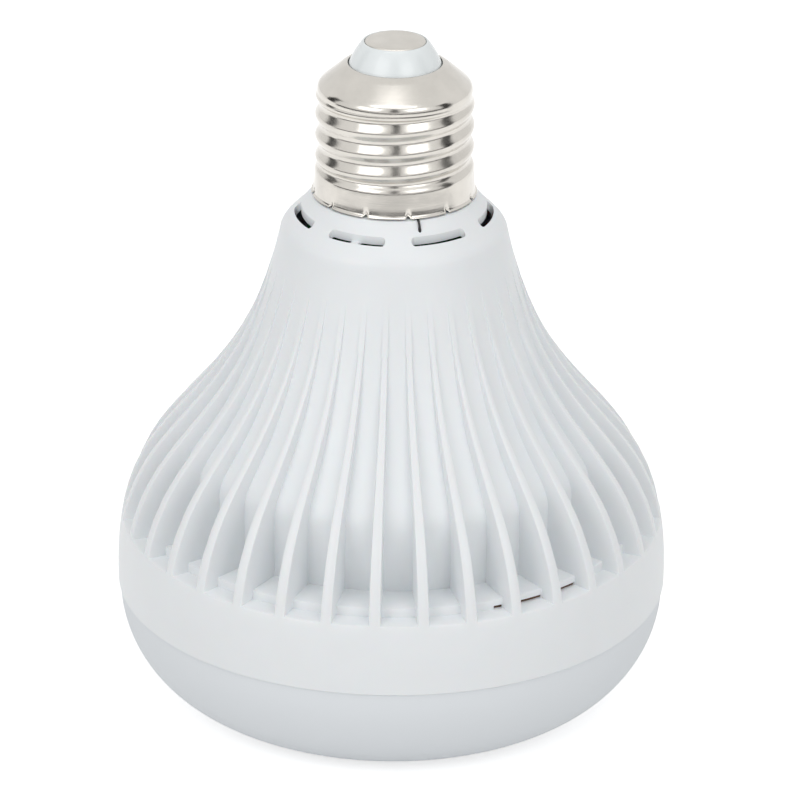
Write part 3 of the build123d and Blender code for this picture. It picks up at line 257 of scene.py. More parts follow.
def arc(centre, radius, start, end, count, stretch):
    """Points of an arc in degrees, stretched along z."""
    handle = radius * 4 / 3 * tan(radians(end - start) / 4)
    ends = []
    for angle, way in ((start, 1), (end, -1)):
        c, s = cos(radians(angle)), sin(radians(angle))
        point = Vector((centre[0] + radius * c, centre[1] + radius * s * stretch))
        ends.append((point, point + way * handle * Vector((-s, c * stretch))))
    return [tuple(p) for p in interpolate_bezier(ends[0][0], ends[0][1], ends[1][1], ends[1][0], count)]


def share_at(handles, height):
    """Parameter at which a curve that rises all the way reaches a height."""
    low, high = 0.0, 1.0
    for _ in range(40):
        middle = (low + high) / 2
        if point_at(handles, middle)[1] < height:
            low = middle
        else:
            high = middle
    return (low + high) / 2


def point_at(handles, share):
    """Point of a cubic curve at a parameter."""
    points = [Vector(h) for h in handles]
    while len(points) > 1:
        points = [a.lerp(b, share) for a, b in zip(points, points[1:])]
    return tuple(points[0])


def line_of(mesh, points, closed=True):
    """Vertices and edges of a profile in the XZ plane."""
    verts = [mesh.verts.new((r * MM, 0, z * MM)) for r, z in points]
    edges = [mesh.edges.new(pair) for pair in zip(verts, verts[1:])]
    if closed:
        edges.append(mesh.edges.new((verts[-1], verts[0])))
    return verts, edges


def turned(points, steps=128, closed=True):
    """Solid of revolution of a profile; ends on the axis become poles."""
    mesh = bmesh.new()
    verts, edges = line_of(mesh, points, closed)
    bmesh.ops.spin(
        mesh, geom=verts + edges, cent=(0, 0, 0), axis=(0, 0, 1), dvec=(0, 0, 0),
        angle=WHOLE_TURN, steps=steps, use_merge=True, use_duplicate=False,
    )
    bmesh.ops.remove_doubles(mesh, verts=mesh.verts, dist=0.001 * MM)
    bmesh.ops.recalc_face_normals(mesh, faces=mesh.faces)
    return mesh


def prism(points, low, high):
    """Upright block over an outline of (x, y) points."""
    mesh = bmesh.new()
    face = mesh.faces.new([mesh.verts.new((x * MM, y * MM, low * MM)) for x, y in points])
    top = bmesh.ops.extrude_face_region(mesh, geom=[face])["geom"]
    moved = [e for e in top if isinstance(e, bmesh.types.BMVert)]
    bmesh.ops.translate(mesh, verts=moved, vec=(0, 0, (high - low) * MM))
    bmesh.ops.recalc_face_normals(mesh, faces=mesh.faces)
    return mesh


def smooth(value, low, high):
    """Share from 0 to 1 with a soft start and end."""
    share = min(1.0, max(0.0, (value - low) / (high - low)))
    return share * share * (3 - 2 * share)


def gather(target, part):
    """Adds one bmesh to another."""
    kept = bpy.data.meshes.new("part")
    part.to_mesh(kept)
    part.free()
    target.from_mesh(kept)
    bpy.data.meshes.remove(kept)


def spread(mesh, count):
    """Repeats the whole mesh round the Z axis."""
    bmesh.ops.spin(
        mesh, geom=mesh.verts[:] + mesh.edges[:] + mesh.faces[:], cent=(0, 0, 0), axis=(0, 0, 1),
        dvec=(0, 0, 0), angle=WHOLE_TURN * (count - 1) / count, steps=count - 1,
        use_merge=False, use_duplicate=True,
    )


def sharp_edges(mesh, least):
    """Edges whose faces meet at more than an angle in degrees."""
    return [e for e in mesh.edges if len(e.link_faces) == 2 and e.calc_face_angle(0) > radians(least)]


def make_piece(name, mesh, material, nodes, body=BODY, least=32.0):
    """Turns a bmesh into a piece that rides on its body and stands for its CAD nodes."""
    for face in mesh.faces:
        face.smooth = True
    for edge in sharp_edges(mesh, least):
        edge.smooth = False
    data = bpy.data.meshes.new(name)
    mesh.to_mesh(data)
    mesh.free()
    data.materials.append(material)
    piece = bpy.data.objects.new(name, data)
    bpy.context.scene.collection.objects.link(piece)
    if body:
        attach(piece, body)
    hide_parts(*nodes)
    return piece


def carved(mesh, cutter, rounding=0.0):
    """The mesh less the cutter, after its weighted edges are rounded."""
    objects = []
    for label, part in (("blank", mesh), ("cutter", cutter)):
        data = bpy.data.meshes.new(label)
        part.to_mesh(data)
        part.free()
        thing = bpy.data.objects.new(label, data)
        bpy.context.scene.collection.objects.link(thing)
        objects.append(thing)
    blank, tool = objects
    if rounding:
        edge = blank.modifiers.new("edges", "BEVEL")
        edge.limit_method = "WEIGHT"
        edge.width = rounding
        edge.segments = 2
        edge.use_clamp_overlap = False
    cut = blank.modifiers.new("cut", "BOOLEAN")
    cut.operation = "DIFFERENCE"
    cut.solver = "EXACT"
    cut.use_self = True
    cut.object = tool
    graph = bpy.context.evaluated_depsgraph_get()
    result = bpy.data.meshes.new_from_object(blank.evaluated_get(graph))
    made = bmesh.new()
    made.from_mesh(result)
    for thing in objects:
        data = thing.data
        bpy.data.objects.remove(thing)
        bpy.data.meshes.remove(data)
    bpy.data.meshes.remove(result)
    return made


# Materials

def add_node(tree, kind, inputs=None, **settings):
    """Adds a node with its settings, and sets or links its inputs."""
    made = tree.nodes.new(kind)
    for key, value in settings.items():
        setattr(made, key, value)
    for key, value in (inputs or {}).items():
        socket = made.inputs[key]
        if isinstance(value, bpy.types.NodeSocket):
            tree.links.new(value, socket)
        else:
            socket.default_value = value
    return made


def new_material(name):
    """Empty node material with its output and object coordinates."""
    material = bpy.data.materials.new(name)
    material.use_nodes = True
    tree = material.node_tree
    tree.nodes.clear()
    output = add_node(tree, "ShaderNodeOutputMaterial")
    place = add_node(tree, "ShaderNodeTexCoord").outputs["Object"]
    return material, tree, output, place


def grained(
    name, colour, roughness, grain, metallic=0.0, shade=0.06, bump=0.1, rough_range=0.08, **principled,
):
    """Finish whose colour, gloss and surface vary with a grain of a real size in millimetres."""
    material, tree, output, place = new_material(name)
    noise = add_node(
        tree, "ShaderNodeTexNoise",
        {"Vector": place, "Scale": 1 / (grain * MM), "Detail": 3.0, "Roughness": 0.55},
    )
    mottle = add_node(
        tree, "ShaderNodeTexNoise", {"Vector": place, "Scale": 1 / (grain * 14 * MM), "Detail": 2.0},
    )
    dark = tuple(c * (1 - shade) for c in colour[:3]) + (1.0,)
    light = tuple(min(1.0, c * (1 + shade)) for c in colour[:3]) + (1.0,)
    tint = add_node(tree, "ShaderNodeMixRGB", {"Fac": mottle.outputs["Fac"], "Color1": dark, "Color2": light})
    gloss = add_node(
        tree, "ShaderNodeMapRange",
        {"Value": noise.outputs["Fac"], "From Min": 0.3, "From Max": 0.7,
         "To Min": max(0.02, roughness - rough_range), "To Max": min(1.0, roughness + rough_range)},
    )
    relief = add_node(
        tree, "ShaderNodeBump", {"Height": noise.outputs["Fac"], "Strength": bump, "Distance": 0.1 * MM},
    )
    shader = add_node(
        tree, "ShaderNodeBsdfPrincipled",
        {"Base Color": tint.outputs["Color"], "Metallic": metallic, "Roughness": gloss.outputs["Result"],
         "Normal": relief.outputs["Normal"], **principled},
    )
    tree.links.new(shader.outputs["BSDF"], output.inputs["Surface"])
    return material


class BulbSizes(bpy.types.PropertyGroup):
    """Sizes that a user would change."""

    rib_count: IntProperty(
        name="Ribs", description="Number of ribs round the bell", default=36, min=12, max=60,
    )
    rib_angle: FloatProperty(
        name="Rib width", description="Angle that one rib takes", default=radians(2.5), subtype="ANGLE",
    )
    rib_round: FloatProperty(
        name="Rib edge radius", description="Rounding of the outer edges of the ribs", default=0.4 * MM,
        unit="LENGTH",
    )
    vent_width: FloatProperty(
        name="Vent width", description="Width of the slots in the neck", default=1.15 * MM,
        unit="LENGTH",
    )
    sheet: FloatProperty(
        name="Cap sheet", description="Thickness of the sheet of the screw cap", default=0.24 * MM,
        unit="LENGTH",
    )
    grille_slot: FloatProperty(
        name="Grille slot width", description="Width of the slots in the speaker grille", default=1.6 * MM,
        unit="LENGTH",
    )


class BulbColours(bpy.types.PropertyGroup):
    """Colours that a user would change."""

    housing: FloatVectorProperty(
        name="Housing", description="Moulded white of the bell and the grille", default=linear("eceff1"),
        subtype="COLOR", min=0, max=1,
    )
    diffuser: FloatVectorProperty(
        name="Light ring", description="Milky plastic over the light board", default=linear("d6d9e0"),
        subtype="COLOR", min=0, max=1,
    )
    nickel: FloatVectorProperty(
        name="Nickel", description="Plating of the screw cap", default=linear("dad6cf"),
        subtype="COLOR", min=0, max=1,
    )
    insulator: FloatVectorProperty(
        name="Insulator", description="White plastic between the cap and the centre contact",
        default=linear("e9eeef"), subtype="COLOR", min=0, max=1,
    )


class BulbPiece:
    """What all operators of the bulb share."""

    bl_options = {"REGISTER", "UNDO"}


def rows_of_bell():
    """Rows of the rib line and of the channel line up to where they meet."""
    low, high = (FLOOR[0][1] + FLOOR[3][1]) / 2, FLOOR[3][1]
    for _ in range(40):
        middle = (low + high) / 2
        rib = point_at(BELL, share_at(BELL, middle))[0]
        floor = point_at(FLOOR, share_at(FLOOR, middle))[0]
        if floor < rib:
            low = middle
        else:
            high = middle
    meet = (low + high) / 2
    floor_end = share_at(FLOOR, meet)
    floor_rows = list(STEP) + curve(FLOOR, CURVE_ROWS + 1, 0.0, floor_end)[1:-1]
    rib_low = [point_at(BELL, share_at(BELL, z)) for z in STEP_ROWS]
    rib_high = curve(BELL, CURVE_ROWS + 1, share_at(BELL, RIB_CURVE_Z), share_at(BELL, meet))
    return rib_low + rib_high[:-1], floor_rows, rib_high[-1], meet


def housing_sector(sizes):
    """One rib pitch of the housing, from the middle of a rib to the middle of the next."""
    rib_rows, floor_rows, meeting, meet = rows_of_bell()
    foot = [point_at(BELL, share_at(BELL, z)) for z in FOOT_ROWS]
    above = curve(BELL, 6, share_at(BELL, meet), 1.0)[1:]
    loop = (
        list(RIM_FOOT) + foot + rib_rows + [meeting] + above + curve(SHOULDER, 9)[1:]
        + list(SPIGOT) + list(INSIDE)
    )
    first = len(RIM_FOOT) + len(foot)
    last = first + len(rib_rows)
    mesh = bmesh.new()
    row = mesh.verts.layers.int.new("row")
    verts, edges = line_of(mesh, loop)
    for k, vert in enumerate(verts):
        vert[row] = k
    in_channel = range(first - 1, last + 1)

    def sweep(front, angle, steps):
        geom = list({v for e in front for v in e.verts}) + list(front)
        done = bmesh.ops.spin(
            mesh, geom=geom, cent=(0, 0, 0), axis=(0, 0, 1), dvec=(0, 0, 0), angle=angle, steps=steps,
            use_merge=False, use_duplicate=False,
        )
        return [e for e in done["geom_last"] if isinstance(e, bmesh.types.BMEdge)]

    def wall(front, angle, to_floor):
        channel = [e for e in front if all(v[row] in in_channel for v in e.verts)]
        rest = [e for e in front if e not in channel]
        made = bmesh.ops.extrude_edge_only(mesh, edges=channel)["geom"]
        turn = Matrix.Rotation(angle, 4, "Z")
        for vert in made:
            if isinstance(vert, bmesh.types.BMVert) and first <= vert[row] < last:
                k = vert[row] - first
                r, z = floor_rows[k] if to_floor else rib_rows[k]
                vert.co = turn @ Vector((r * MM, 0, z * MM))
        return rest + [e for e in made if isinstance(e, bmesh.types.BMEdge)]

    pitch = WHOLE_TURN / sizes.rib_count
    half = sizes.rib_angle / 2
    front = sweep(edges, half, 1)
    front = wall(front, half, True)
    front = sweep(front, pitch - 2 * half, CHANNEL_STEPS)
    front = wall(front, pitch - half, False)
    sweep(front, half, 1)
    bmesh.ops.remove_doubles(mesh, verts=mesh.verts, dist=0.001 * MM)
    bmesh.ops.dissolve_degenerate(mesh, edges=mesh.edges, dist=0.0005 * MM)
    return mesh


def weigh_edges(mesh):
    """Marks the ribs' outer edges and the rim of the step for rounding, less where a channel is shallow."""
    weight = mesh.edges.layers.float.new("bevel_weight_edge")
    step_r, step_z = STEP[1]
    for edge in sharp_edges(mesh, EDGE_ANGLE):
        middle = (edge.verts[0].co + edge.verts[1].co) / 2 / MM
        radius = hypot(middle.x, middle.y)
        if RING_Z - 0.1 < middle.z < EDGE_END_Z:
            rib = point_at(BELL, share_at(BELL, middle.z))[0]
            if abs(radius - rib) < 0.25:
                depth = rib
                if middle.z > FLOOR[0][1]:
                    depth -= point_at(FLOOR, share_at(FLOOR, middle.z))[0]
                edge[weight] = min(1.0, depth / EDGE_DEPTH)
        if abs(radius - step_r) < 0.2 and abs(middle.z - step_z) < 0.05:
            edge[weight] = STEP_SHARE


def stadium(radius, middle, width, length, ends=8, sides=10):
    """Outline of a slot along an arc round the Z axis, with round ends."""
    half = width / 2
    reach = (length - width) / 2 / radius
    points = []
    for way in (1, -1):
        tip = middle + way * reach
        for k in range(ends + 1):
            turn = tip + pi * k / ends + (0 if way > 0 else pi)
            points.append((radius * cos(tip) + half * cos(turn), radius * sin(tip) + half * sin(turn)))
        side = radius - way * half
        for k in range(1, sides):
            at = tip - way * 2 * reach * k / sides
            points.append((side * cos(at), side * sin(at)))
    return points


def vent_block(middle, span, width, low, high):
    """Cutter of one slot in the neck; angles in degrees."""
    outline = stadium(VENT_RADIUS, radians(middle), width, radians(span) * VENT_RADIUS)
    return prism(outline, low, high)


def sector(inner, outer, start, length, steps=6):
    """Outline of a piece of a ring; angles in degrees."""
    turns = [radians(start + length * k / steps) for k in range(steps + 1)]
    outside = [(outer * cos(a), outer * sin(a)) for a in turns]
    inside = [(inner * cos(a), inner * sin(a)) for a in turns[::-1]]
    return outside + inside


def housing_openings(width):
    """Cutters of the slots in the neck, the slits at the foot of the drum and the hole of the lead."""
    cutter = bmesh.new()
    for k in range(VENT_COUNT):
        middle = VENT_START + 360 / VENT_COUNT * k
        if k == WEB_VENT:
            web = (WEB_ANGLE - middle + 180) % 360 - 180
            for start, end in ((-VENT_ARC / 2, web - WEB_HALF), (web + WEB_HALF, VENT_ARC / 2)):
                part = vent_block(middle + (start + end) / 2, end - start, width, VENT_Z[0], WEB_TOP_Z + 0.1)
                gather(cutter, part)
            gather(cutter, vent_block(middle, VENT_ARC, width, WEB_TOP_Z, VENT_Z[1]))
        else:
            gather(cutter, vent_block(middle, VENT_ARC, width, *VENT_Z))
    riser = STEP[0][0]
    for start, length in SLITS:
        outline = sector(riser - SLIT_DEPTH, riser + 0.15, start, length)
        gather(cutter, prism(outline, RING_Z - 0.02, RING_Z + SLIT_H))
    hole = bmesh.new()
    turn = radians(LEAD_ANGLE)
    middle = Vector((LEAD_HOLE_AT * cos(turn), LEAD_HOLE_AT * sin(turn), LEAD_HOLE_Z)) * MM
    bmesh.ops.create_cone(
        hole, cap_ends=True, segments=20, radius1=LEAD_HOLE_R * MM, radius2=LEAD_HOLE_R * MM,
        depth=LEAD_HOLE_DEPTH * MM, matrix=Matrix.Translation(middle),
    )
    gather(cutter, hole)
    return cutter


def board_and_shade_strips():
    """Brown board strips set at the back of the blind slits at the foot of the drum: they stand for the board
    and are painted shade in the slits.
    """
    strips = bmesh.new()
    front = STEP[0][0] - SLIT_DEPTH + SHADE_STRIP_LAP
    for start, length in SLITS:
        outline = sector(front - SHADE_STRIP_T, front, start - SHADE_STRIP_MORE, length + 2 * SHADE_STRIP_MORE)
        gather(strips, prism(outline, RING_Z - 0.2, RING_Z + SLIT_H + 0.2))
    return strips


class BULB_OT_housing(BulbPiece, bpy.types.Operator):
    """Ribbed bell of the housing with its vents and slits, and brown board strips at the back of the slits
    that also paint their shade
    """

    bl_idname = "bulb.housing"
    bl_label = "Housing"

    def execute(self, context):
        sizes = context.scene.bulb_sizes
        mesh = housing_sector(sizes)
        spread(mesh, sizes.rib_count)
        bmesh.ops.remove_doubles(mesh, verts=mesh.verts, dist=0.002 * MM)
        bmesh.ops.recalc_face_normals(mesh, faces=mesh.faces)
        weigh_edges(mesh)
        mesh = carved(mesh, housing_openings(sizes.vent_width / MM), sizes.rib_round)
        make_piece("housing_bell", mesh, bpy.data.materials["moulded_abs_white"], ["housing"])
        # Brown board strips at the back of the slits, also painted shade in them
        laminate = bpy.data.materials["phenolic_laminate"]
        make_piece("board_and_painted_shade_in_slits", board_and_shade_strips(), laminate, [])
        return {"FINISHED"}


class BULB_OT_light_ring(BulbPiece, bpy.types.Operator):
    """Milky ring over the light board"""

    bl_idname = "bulb.light_ring"
    bl_label = "Light ring"

    def execute(self, context):
        outer = arc(BOWL_CENTRE, BOWL_R, 270, 360, 30, BOWL_CENTRE[1] / BOWL_R)
        inner = arc(BOWL_INSIDE_CENTRE, BOWL_INSIDE[0], 360, 270, 20, BOWL_INSIDE[1] / BOWL_INSIDE[0])
        profile = list(FACE_LIP) + outer + list(RING_SKIRT) + inner + list(RING_COLLAR)
        milky = bpy.data.materials["milky_polycarbonate"]
        make_piece("light_ring", turned(profile, 160), milky, ["diffuser"])
        return {"FINISHED"}


def thread_radius(offset):
    """Radius of the rolled thread at a distance along the axis from its crest."""
    across = 2 * KNUCKLE - THREAD_DEPTH
    turn = atan2(PITCH / 2, across) - acos(2 * KNUCKLE / hypot(across, PITCH / 2))
    reach = KNUCKLE * sin(turn)
    away = PITCH / 2 - abs(offset)
    crest_centre, root_centre = CREST - KNUCKLE, CREST - THREAD_DEPTH + KNUCKLE
    if abs(offset) <= reach:
        return crest_centre + sqrt(KNUCKLE ** 2 - offset ** 2)
    if away <= reach:
        return root_centre - sqrt(KNUCKLE ** 2 - away ** 2)
    share = (abs(offset) - reach) / (PITCH / 2 - 2 * reach)
    top, foot = crest_centre + KNUCKLE * cos(turn), root_centre - KNUCKLE * cos(turn)
    return top + (foot - top) * share


class BULB_OT_screw_shell(BulbPiece, bpy.types.Operator):
    """Rolled and plated shell of the screw cap"""

    bl_idname = "bulb.screw_shell"
    bl_label = "Screw shell"

    def execute(self, context):
        crown = curve(CROWN[0], 10) + curve(CROWN[1], 6)
        low, high = SKIRT[-1][1], crown[0][1]
        rows = [(SKIRT[-1][0], low + (high - low) * k / THREAD_ROWS) for k in range(1, THREAD_ROWS)]
        profile = list(LIP) + list(SKIRT) + rows + crown + list(CROWN_EDGE)
        mesh = turned(profile, SHELL_STEPS, closed=False)
        if sum(f.normal.xy.dot(f.calc_center_median().xy) for f in mesh.faces) < 0:
            bmesh.ops.reverse_faces(mesh, faces=mesh.faces)
        for vert in mesh.verts:
            z = vert.co.z / MM
            turn = atan2(vert.co.y, vert.co.x)
            radius = vert.co.xy.length / MM
            place = radius
            if low < z < high:
                offset = (z - CREST_OVER_X - PITCH * turn / WHOLE_TURN + PITCH / 2) % PITCH - PITCH / 2
                plain = SKIRT[-1][0] + (crown[0][0] - SKIRT[-1][0]) * smooth(z, *THREAD_HEAD)
                share = smooth(z, *THREAD_FOOT) * (1 - smooth(z, *THREAD_HEAD))
                place = plain + (thread_radius(offset) - plain) * share
            elif z < STAKE_TOP:
                away = abs((degrees(turn) - STAKE_START + STAKE_PITCH / 2) % STAKE_PITCH - STAKE_PITCH / 2)
                foot = (STAKE_TOP - z) / (STAKE_TOP - LIP[0][1])
                near = max(0.0, 1 - away / STAKE_HALF / (0.35 + 0.65 * foot)) * foot
                place = radius - STAKE_DEPTH * near
                vert.co.z += STAKE_LIFT * near * MM
            vert.co.xy *= place / radius
        plating = bpy.data.materials["nickel_plated_brass"]
        piece = make_piece("screw_cap_shell", mesh, plating, ["screw_shell"], least=50)
        wall = piece.modifiers.new("sheet", "SOLIDIFY")
        wall.thickness = context.scene.bulb_sizes.sheet
        wall.offset = -1
        return {"FINISHED"}


class BULB_OT_neutral_lead(BulbPiece, bpy.types.Operator):
    """Thin black lead that comes out under the shell and goes in through a hole in the shoulder"""

    bl_idname = "bulb.neutral_lead"
    bl_label = "Neutral lead"

    def execute(self, context):
        turn = radians(LEAD_ANGLE)
        line = bpy.data.curves.new("lead", "CURVE")
        line.dimensions = "3D"
        line.bevel_depth = LEAD_R * MM
        line.bevel_resolution = 4
        line.use_fill_caps = True
        spline = line.splines.new("NURBS")
        spline.points.add(len(LEAD_RUN) - 1)
        for point, (r, z) in zip(spline.points, LEAD_RUN):
            point.co = (r * cos(turn) * MM, r * sin(turn) * MM, z * MM, 1)
        spline.order_u = 3
        spline.use_endpoint_u = True
        holder = bpy.data.objects.new("lead", line)
        data = bpy.data.meshes.new_from_object(holder)
        mesh = bmesh.new()
        mesh.from_mesh(data)
        bpy.data.objects.remove(holder)
        bpy.data.meshes.remove(data)
        make_piece("neutral_wire", mesh, bpy.data.materials["pvc_black"], ["neutral_lead"])
        return {"FINISHED"}


class BULB_OT_cap_tip(BulbPiece, bpy.types.Operator):
    """Insulator of the cap and its centre contact"""

    bl_idname = "bulb.cap_tip"
    bl_label = "Insulator and contact"

    def execute(self, context):
        cone = list(INSULATOR_FOOT) + curve(INSULATOR_SIDE, 14) + list(INSULATOR_SEAT)
        plastic = bpy.data.materials["insulator_plastic"]
        make_piece("cap_insulator_cone", turned(cone, 96), plastic, ["cap_insulator"])
        disc = turned(list(CONTACT_FACE) + curve(CONTACT_EDGE, 8) + list(CONTACT_BACK), 96, closed=False)
        plating = bpy.data.materials["nickel_contact"]
        make_piece("contact_disc", disc, plating, ["centre_contact"])
        return {"FINISHED"}


class BULB_OT_grille(BulbPiece, bpy.types.Operator):
    """Slotted disc in front of the speaker"""

    bl_idname = "bulb.grille"
    bl_label = "Speaker grille"

    def execute(self, context):
        width = context.scene.bulb_sizes.grille_slot / MM
        disc = turned(GRILLE, 128, closed=False)
        cutter = bmesh.new()
        for radius, count, length in GRILLE_SLOTS:
            for k in range(count):
                outline = []
                turn = WHOLE_TURN * k / count
                for way in (1, -1):
                    for j in range(9):
                        at = pi * j / 8 - way * pi / 2
                        x = radius + way * (length - width) / 2 + width / 2 * cos(at)
                        y = width / 2 * sin(at)
                        outline.append((x * cos(turn) - y * sin(turn), x * sin(turn) + y * cos(turn)))
                gather(cutter, prism(outline, *GRILLE_CUT))
        white = bpy.data.materials["moulded_abs_white"]
        make_piece("grille_disc", carved(disc, cutter), white, ["speaker_grille"])
        return {"FINISHED"}


class BULB_OT_surround(BulbPiece, bpy.types.Operator):
    """Half roll of rubber round the cone, in an inner half left without a body and an outer half that rides
    on the lamp body
    """

    bl_idname = "bulb.surround"
    bl_label = "Cone surround"

    def execute(self, context):
        outside = curve(ROLL_OUTSIDE, 9) + [ROLL_RIM]
        inside = curve(ROLL_INSIDE, 9) + [ROLL_HEM]
        rubber = bpy.data.materials["butyl_rubber"]
        halves = (("surround_outer_half", outside, BODY), ("surround_inner_half", inside, None))
        for name, line, body in halves:
            roll = turned(line + [(r, z + ROLL_T) for r, z in line[::-1]], 96)
            piece = make_piece(name, roll, rubber, ["surround"], body=body)
            if body is None:
                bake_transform(piece)
        return {"FINISHED"}


class BULB_OT_spider(BulbPiece, bpy.types.Operator):
    """Corrugated cloth that centres the coil, made in separate sectors"""

    bl_idname = "bulb.spider"
    bl_label = "Spider"

    def execute(self, context):
        span = WHOLE_TURN / SPIDER_SECTORS
        under = [(r, z - SPIDER_T / 2) for r, z in SPIDER_LINE]
        over = [(r, z + SPIDER_T / 2) for r, z in SPIDER_LINE[::-1]]
        for k in range(SPIDER_SECTORS):
            mesh = bmesh.new()
            verts, edges = line_of(mesh, under + over)
            turn = Matrix.Rotation(span * (k - 0.5), 3, "Z")
            bmesh.ops.rotate(mesh, verts=verts, cent=(0, 0, 0), matrix=turn)
            bmesh.ops.spin(
                mesh, geom=verts + edges, cent=(0, 0, 0), axis=(0, 0, 1), dvec=(0, 0, 0), angle=span, steps=4,
                use_merge=False, use_duplicate=False,
            )
            along = [e for e in mesh.edges if abs(e.verts[0].co.xy.length - e.verts[1].co.xy.length) > MM]
            bmesh.ops.subdivide_edges(mesh, edges=along, cuts=3)
            bmesh.ops.holes_fill(mesh, edges=mesh.edges, sides=0)
            bmesh.ops.recalc_face_normals(mesh, faces=mesh.faces)
            cloth = bpy.data.materials["resin_dipped_cotton"]
            piece = make_piece(f"spider_sector_{k + 1}", mesh, cloth, ["spider"], body=None)
            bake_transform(piece)
        return {"FINISHED"}


class BULB_OT_finishes(BulbPiece, bpy.types.Operator):
    """Materials of every piece, put on the CAD nodes that stay in view"""

    bl_idname = "bulb.finishes"
    bl_label = "Finishes"

    def execute(self, context):
        colours = context.scene.bulb_colours
        # Injection moulded ABS: satin white, a trace of flow mottle, soft highlights on the ribs
        white = grained(
            "moulded_abs_white", colours.housing, 0.42, 0.35, shade=0.012, bump=0.04, rough_range=0.05,
            IOR=1.53, **{"Subsurface Weight": 0.08, "Subsurface Scale": 1.2 * MM},
        )
        make_diffuser_finish(colours.diffuser)
        # Nickel on rolled brass: bright with fine rolling lines and a warm grey tone
        make_nickel("nickel_plated_brass", colours.nickel, 0.16)
        # The same plating on the pressed contact, duller from handling
        make_nickel("nickel_contact", colours.nickel, 0.34)
        # Moulded PBT: glossy white with an even tone
        grained(
            "insulator_plastic", colours.insulator, 0.22, 0.5, shade=0.01, bump=0.02, rough_range=0.03,
            IOR=1.57,
        )
        # Butyl rubber: dull black with a fine skin
        grained("butyl_rubber", linear("19191a"), 0.62, 0.3, shade=0.2, bump=0.25, IOR=1.52)
        inner = {
            # Satin moulding, as the housing
            "white_abs": white,
            # Paper based laminate: brown with short fibres
            "phenolic_board": grained(
                "phenolic_laminate", linear("5b3a22"), 0.5, 0.8, shade=0.22, bump=0.12, IOR=1.6,
            ),
            # Silicone with phosphor: warm yellow, slightly glossy
            "led_phosphor": grained(
                "led_silicone", linear("e6cf62"), 0.3, 0.3, shade=0.08, bump=0.05, IOR=1.41,
            ),
            # Zinc on pressed steel: grey with pale blooms
            "zinc_screw": grained(
                "zinc_plated_steel", linear("b9bbb8"), 0.34, 0.5, 1.0, shade=0.12, bump=0.06,
            ),
            # Pressed sheet: mid grey with a dull rolled sheen
            "pressed_steel": grained(
                "pressed_sheet_steel", linear("9c9d9e"), 0.4, 0.9, 1.0, shade=0.15, bump=0.08,
            ),
            # Sintered ferrite: charcoal with a ground face
            "ferrite": grained(
                "sintered_ferrite", linear("3a3a3d"), 0.55, 0.4, shade=0.2, bump=0.2, IOR=2.2,
            ),
            # Enamelled wire: reddish and glossy, turns close together
            "coil_copper": grained(
                "enamelled_copper", linear("a65a33"), 0.3, 0.25, 1.0, shade=0.25, bump=0.3,
            ),
            # Pulp paper: black, matt and fibrous
            "cone_paper": grained(
                "pulp_paper_black", linear("232324"), 0.85, 0.6, shade=0.3, bump=0.45, IOR=1.45,
            ),
            "surround_rubber": bpy.data.materials["butyl_rubber"],
            # Resin dipped cotton: amber with a visible weave grain
            "spider_cloth": grained(
                "resin_dipped_cotton", linear("a9803f"), 0.75, 0.5, shade=0.25, bump=0.5, IOR=1.5,
            ),
            # Hard fibre: brown and matt
            "strip_board": grained(
                "fibre_strip", linear("7d5a34"), 0.6, 0.5, shade=0.15, bump=0.2, IOR=1.5,
            ),
            # Solder mask over glass laminate: deep green and glossy
            "green_board": grained(
                "green_solder_mask", linear("1f5a34"), 0.28, 0.7, shade=0.12, bump=0.1, IOR=1.55,
            ),
            # Tinned sheet: pale and bright
            "tinned_shield": grained(
                "tinned_steel", linear("c6c7c9"), 0.25, 0.6, 1.0, shade=0.08, bump=0.05,
            ),
            # Moulding compound: black, satin from its mould
            "black_epoxy": grained(
                "moulding_compound", linear("232326"), 0.5, 0.3, shade=0.15, bump=0.15, IOR=1.55,
            ),
            # PVC shrink sleeve: near black with a sheen
            "capacitor_sleeve": grained(
                "shrink_sleeve", linear("20222a"), 0.3, 0.8, shade=0.15, bump=0.06, IOR=1.54,
            ),
            # Dipped coat: brown, glossy and slightly uneven
            "film_epoxy": grained(
                "dipped_epoxy_brown", linear("93562a"), 0.25, 1.2, shade=0.12, bump=0.12, IOR=1.55,
            ),
            # Polyester tape: clear yellow with a gloss
            "coil_tape": grained(
                "polyester_tape", linear("dcb53c"), 0.25, 0.9, shade=0.08, bump=0.08, IOR=1.6,
            ),
            # Gold flash over nickel: pale yellow metal
            "gold_pin": grained("gold_flash", linear("d0a85a"), 0.28, 0.3, 1.0, shade=0.08, bump=0.03),
            # Lacquer: grey-blue with a low gloss
            "resistor_lacquer": grained(
                "resistor_lacquer", linear("86b0ac"), 0.35, 0.5, shade=0.08, bump=0.08, IOR=1.5,
            ),
            # PVC insulation: smooth, with a soft gloss
            "lead_black": grained(
                "pvc_black", linear("1c1c1e"), 0.38, 0.4, shade=0.15, bump=0.06, IOR=1.53,
            ),
            "lead_red": grained("pvc_red", linear("a3251f"), 0.38, 0.4, shade=0.1, bump=0.06, IOR=1.53),
            "milky_polycarbonate": bpy.data.materials["milky_polycarbonate"],
            "nickel_plate": bpy.data.materials["nickel_plated_brass"],
            "insulator_white": bpy.data.materials["insulator_plastic"],
        }
        for part in frame["record"]["subparts"]:
            piece = frame["nodes"][part["node"]]
            piece.data.materials.clear()
            piece.data.materials.append(inner[part["material_slot"]])
        return {"FINISHED"}


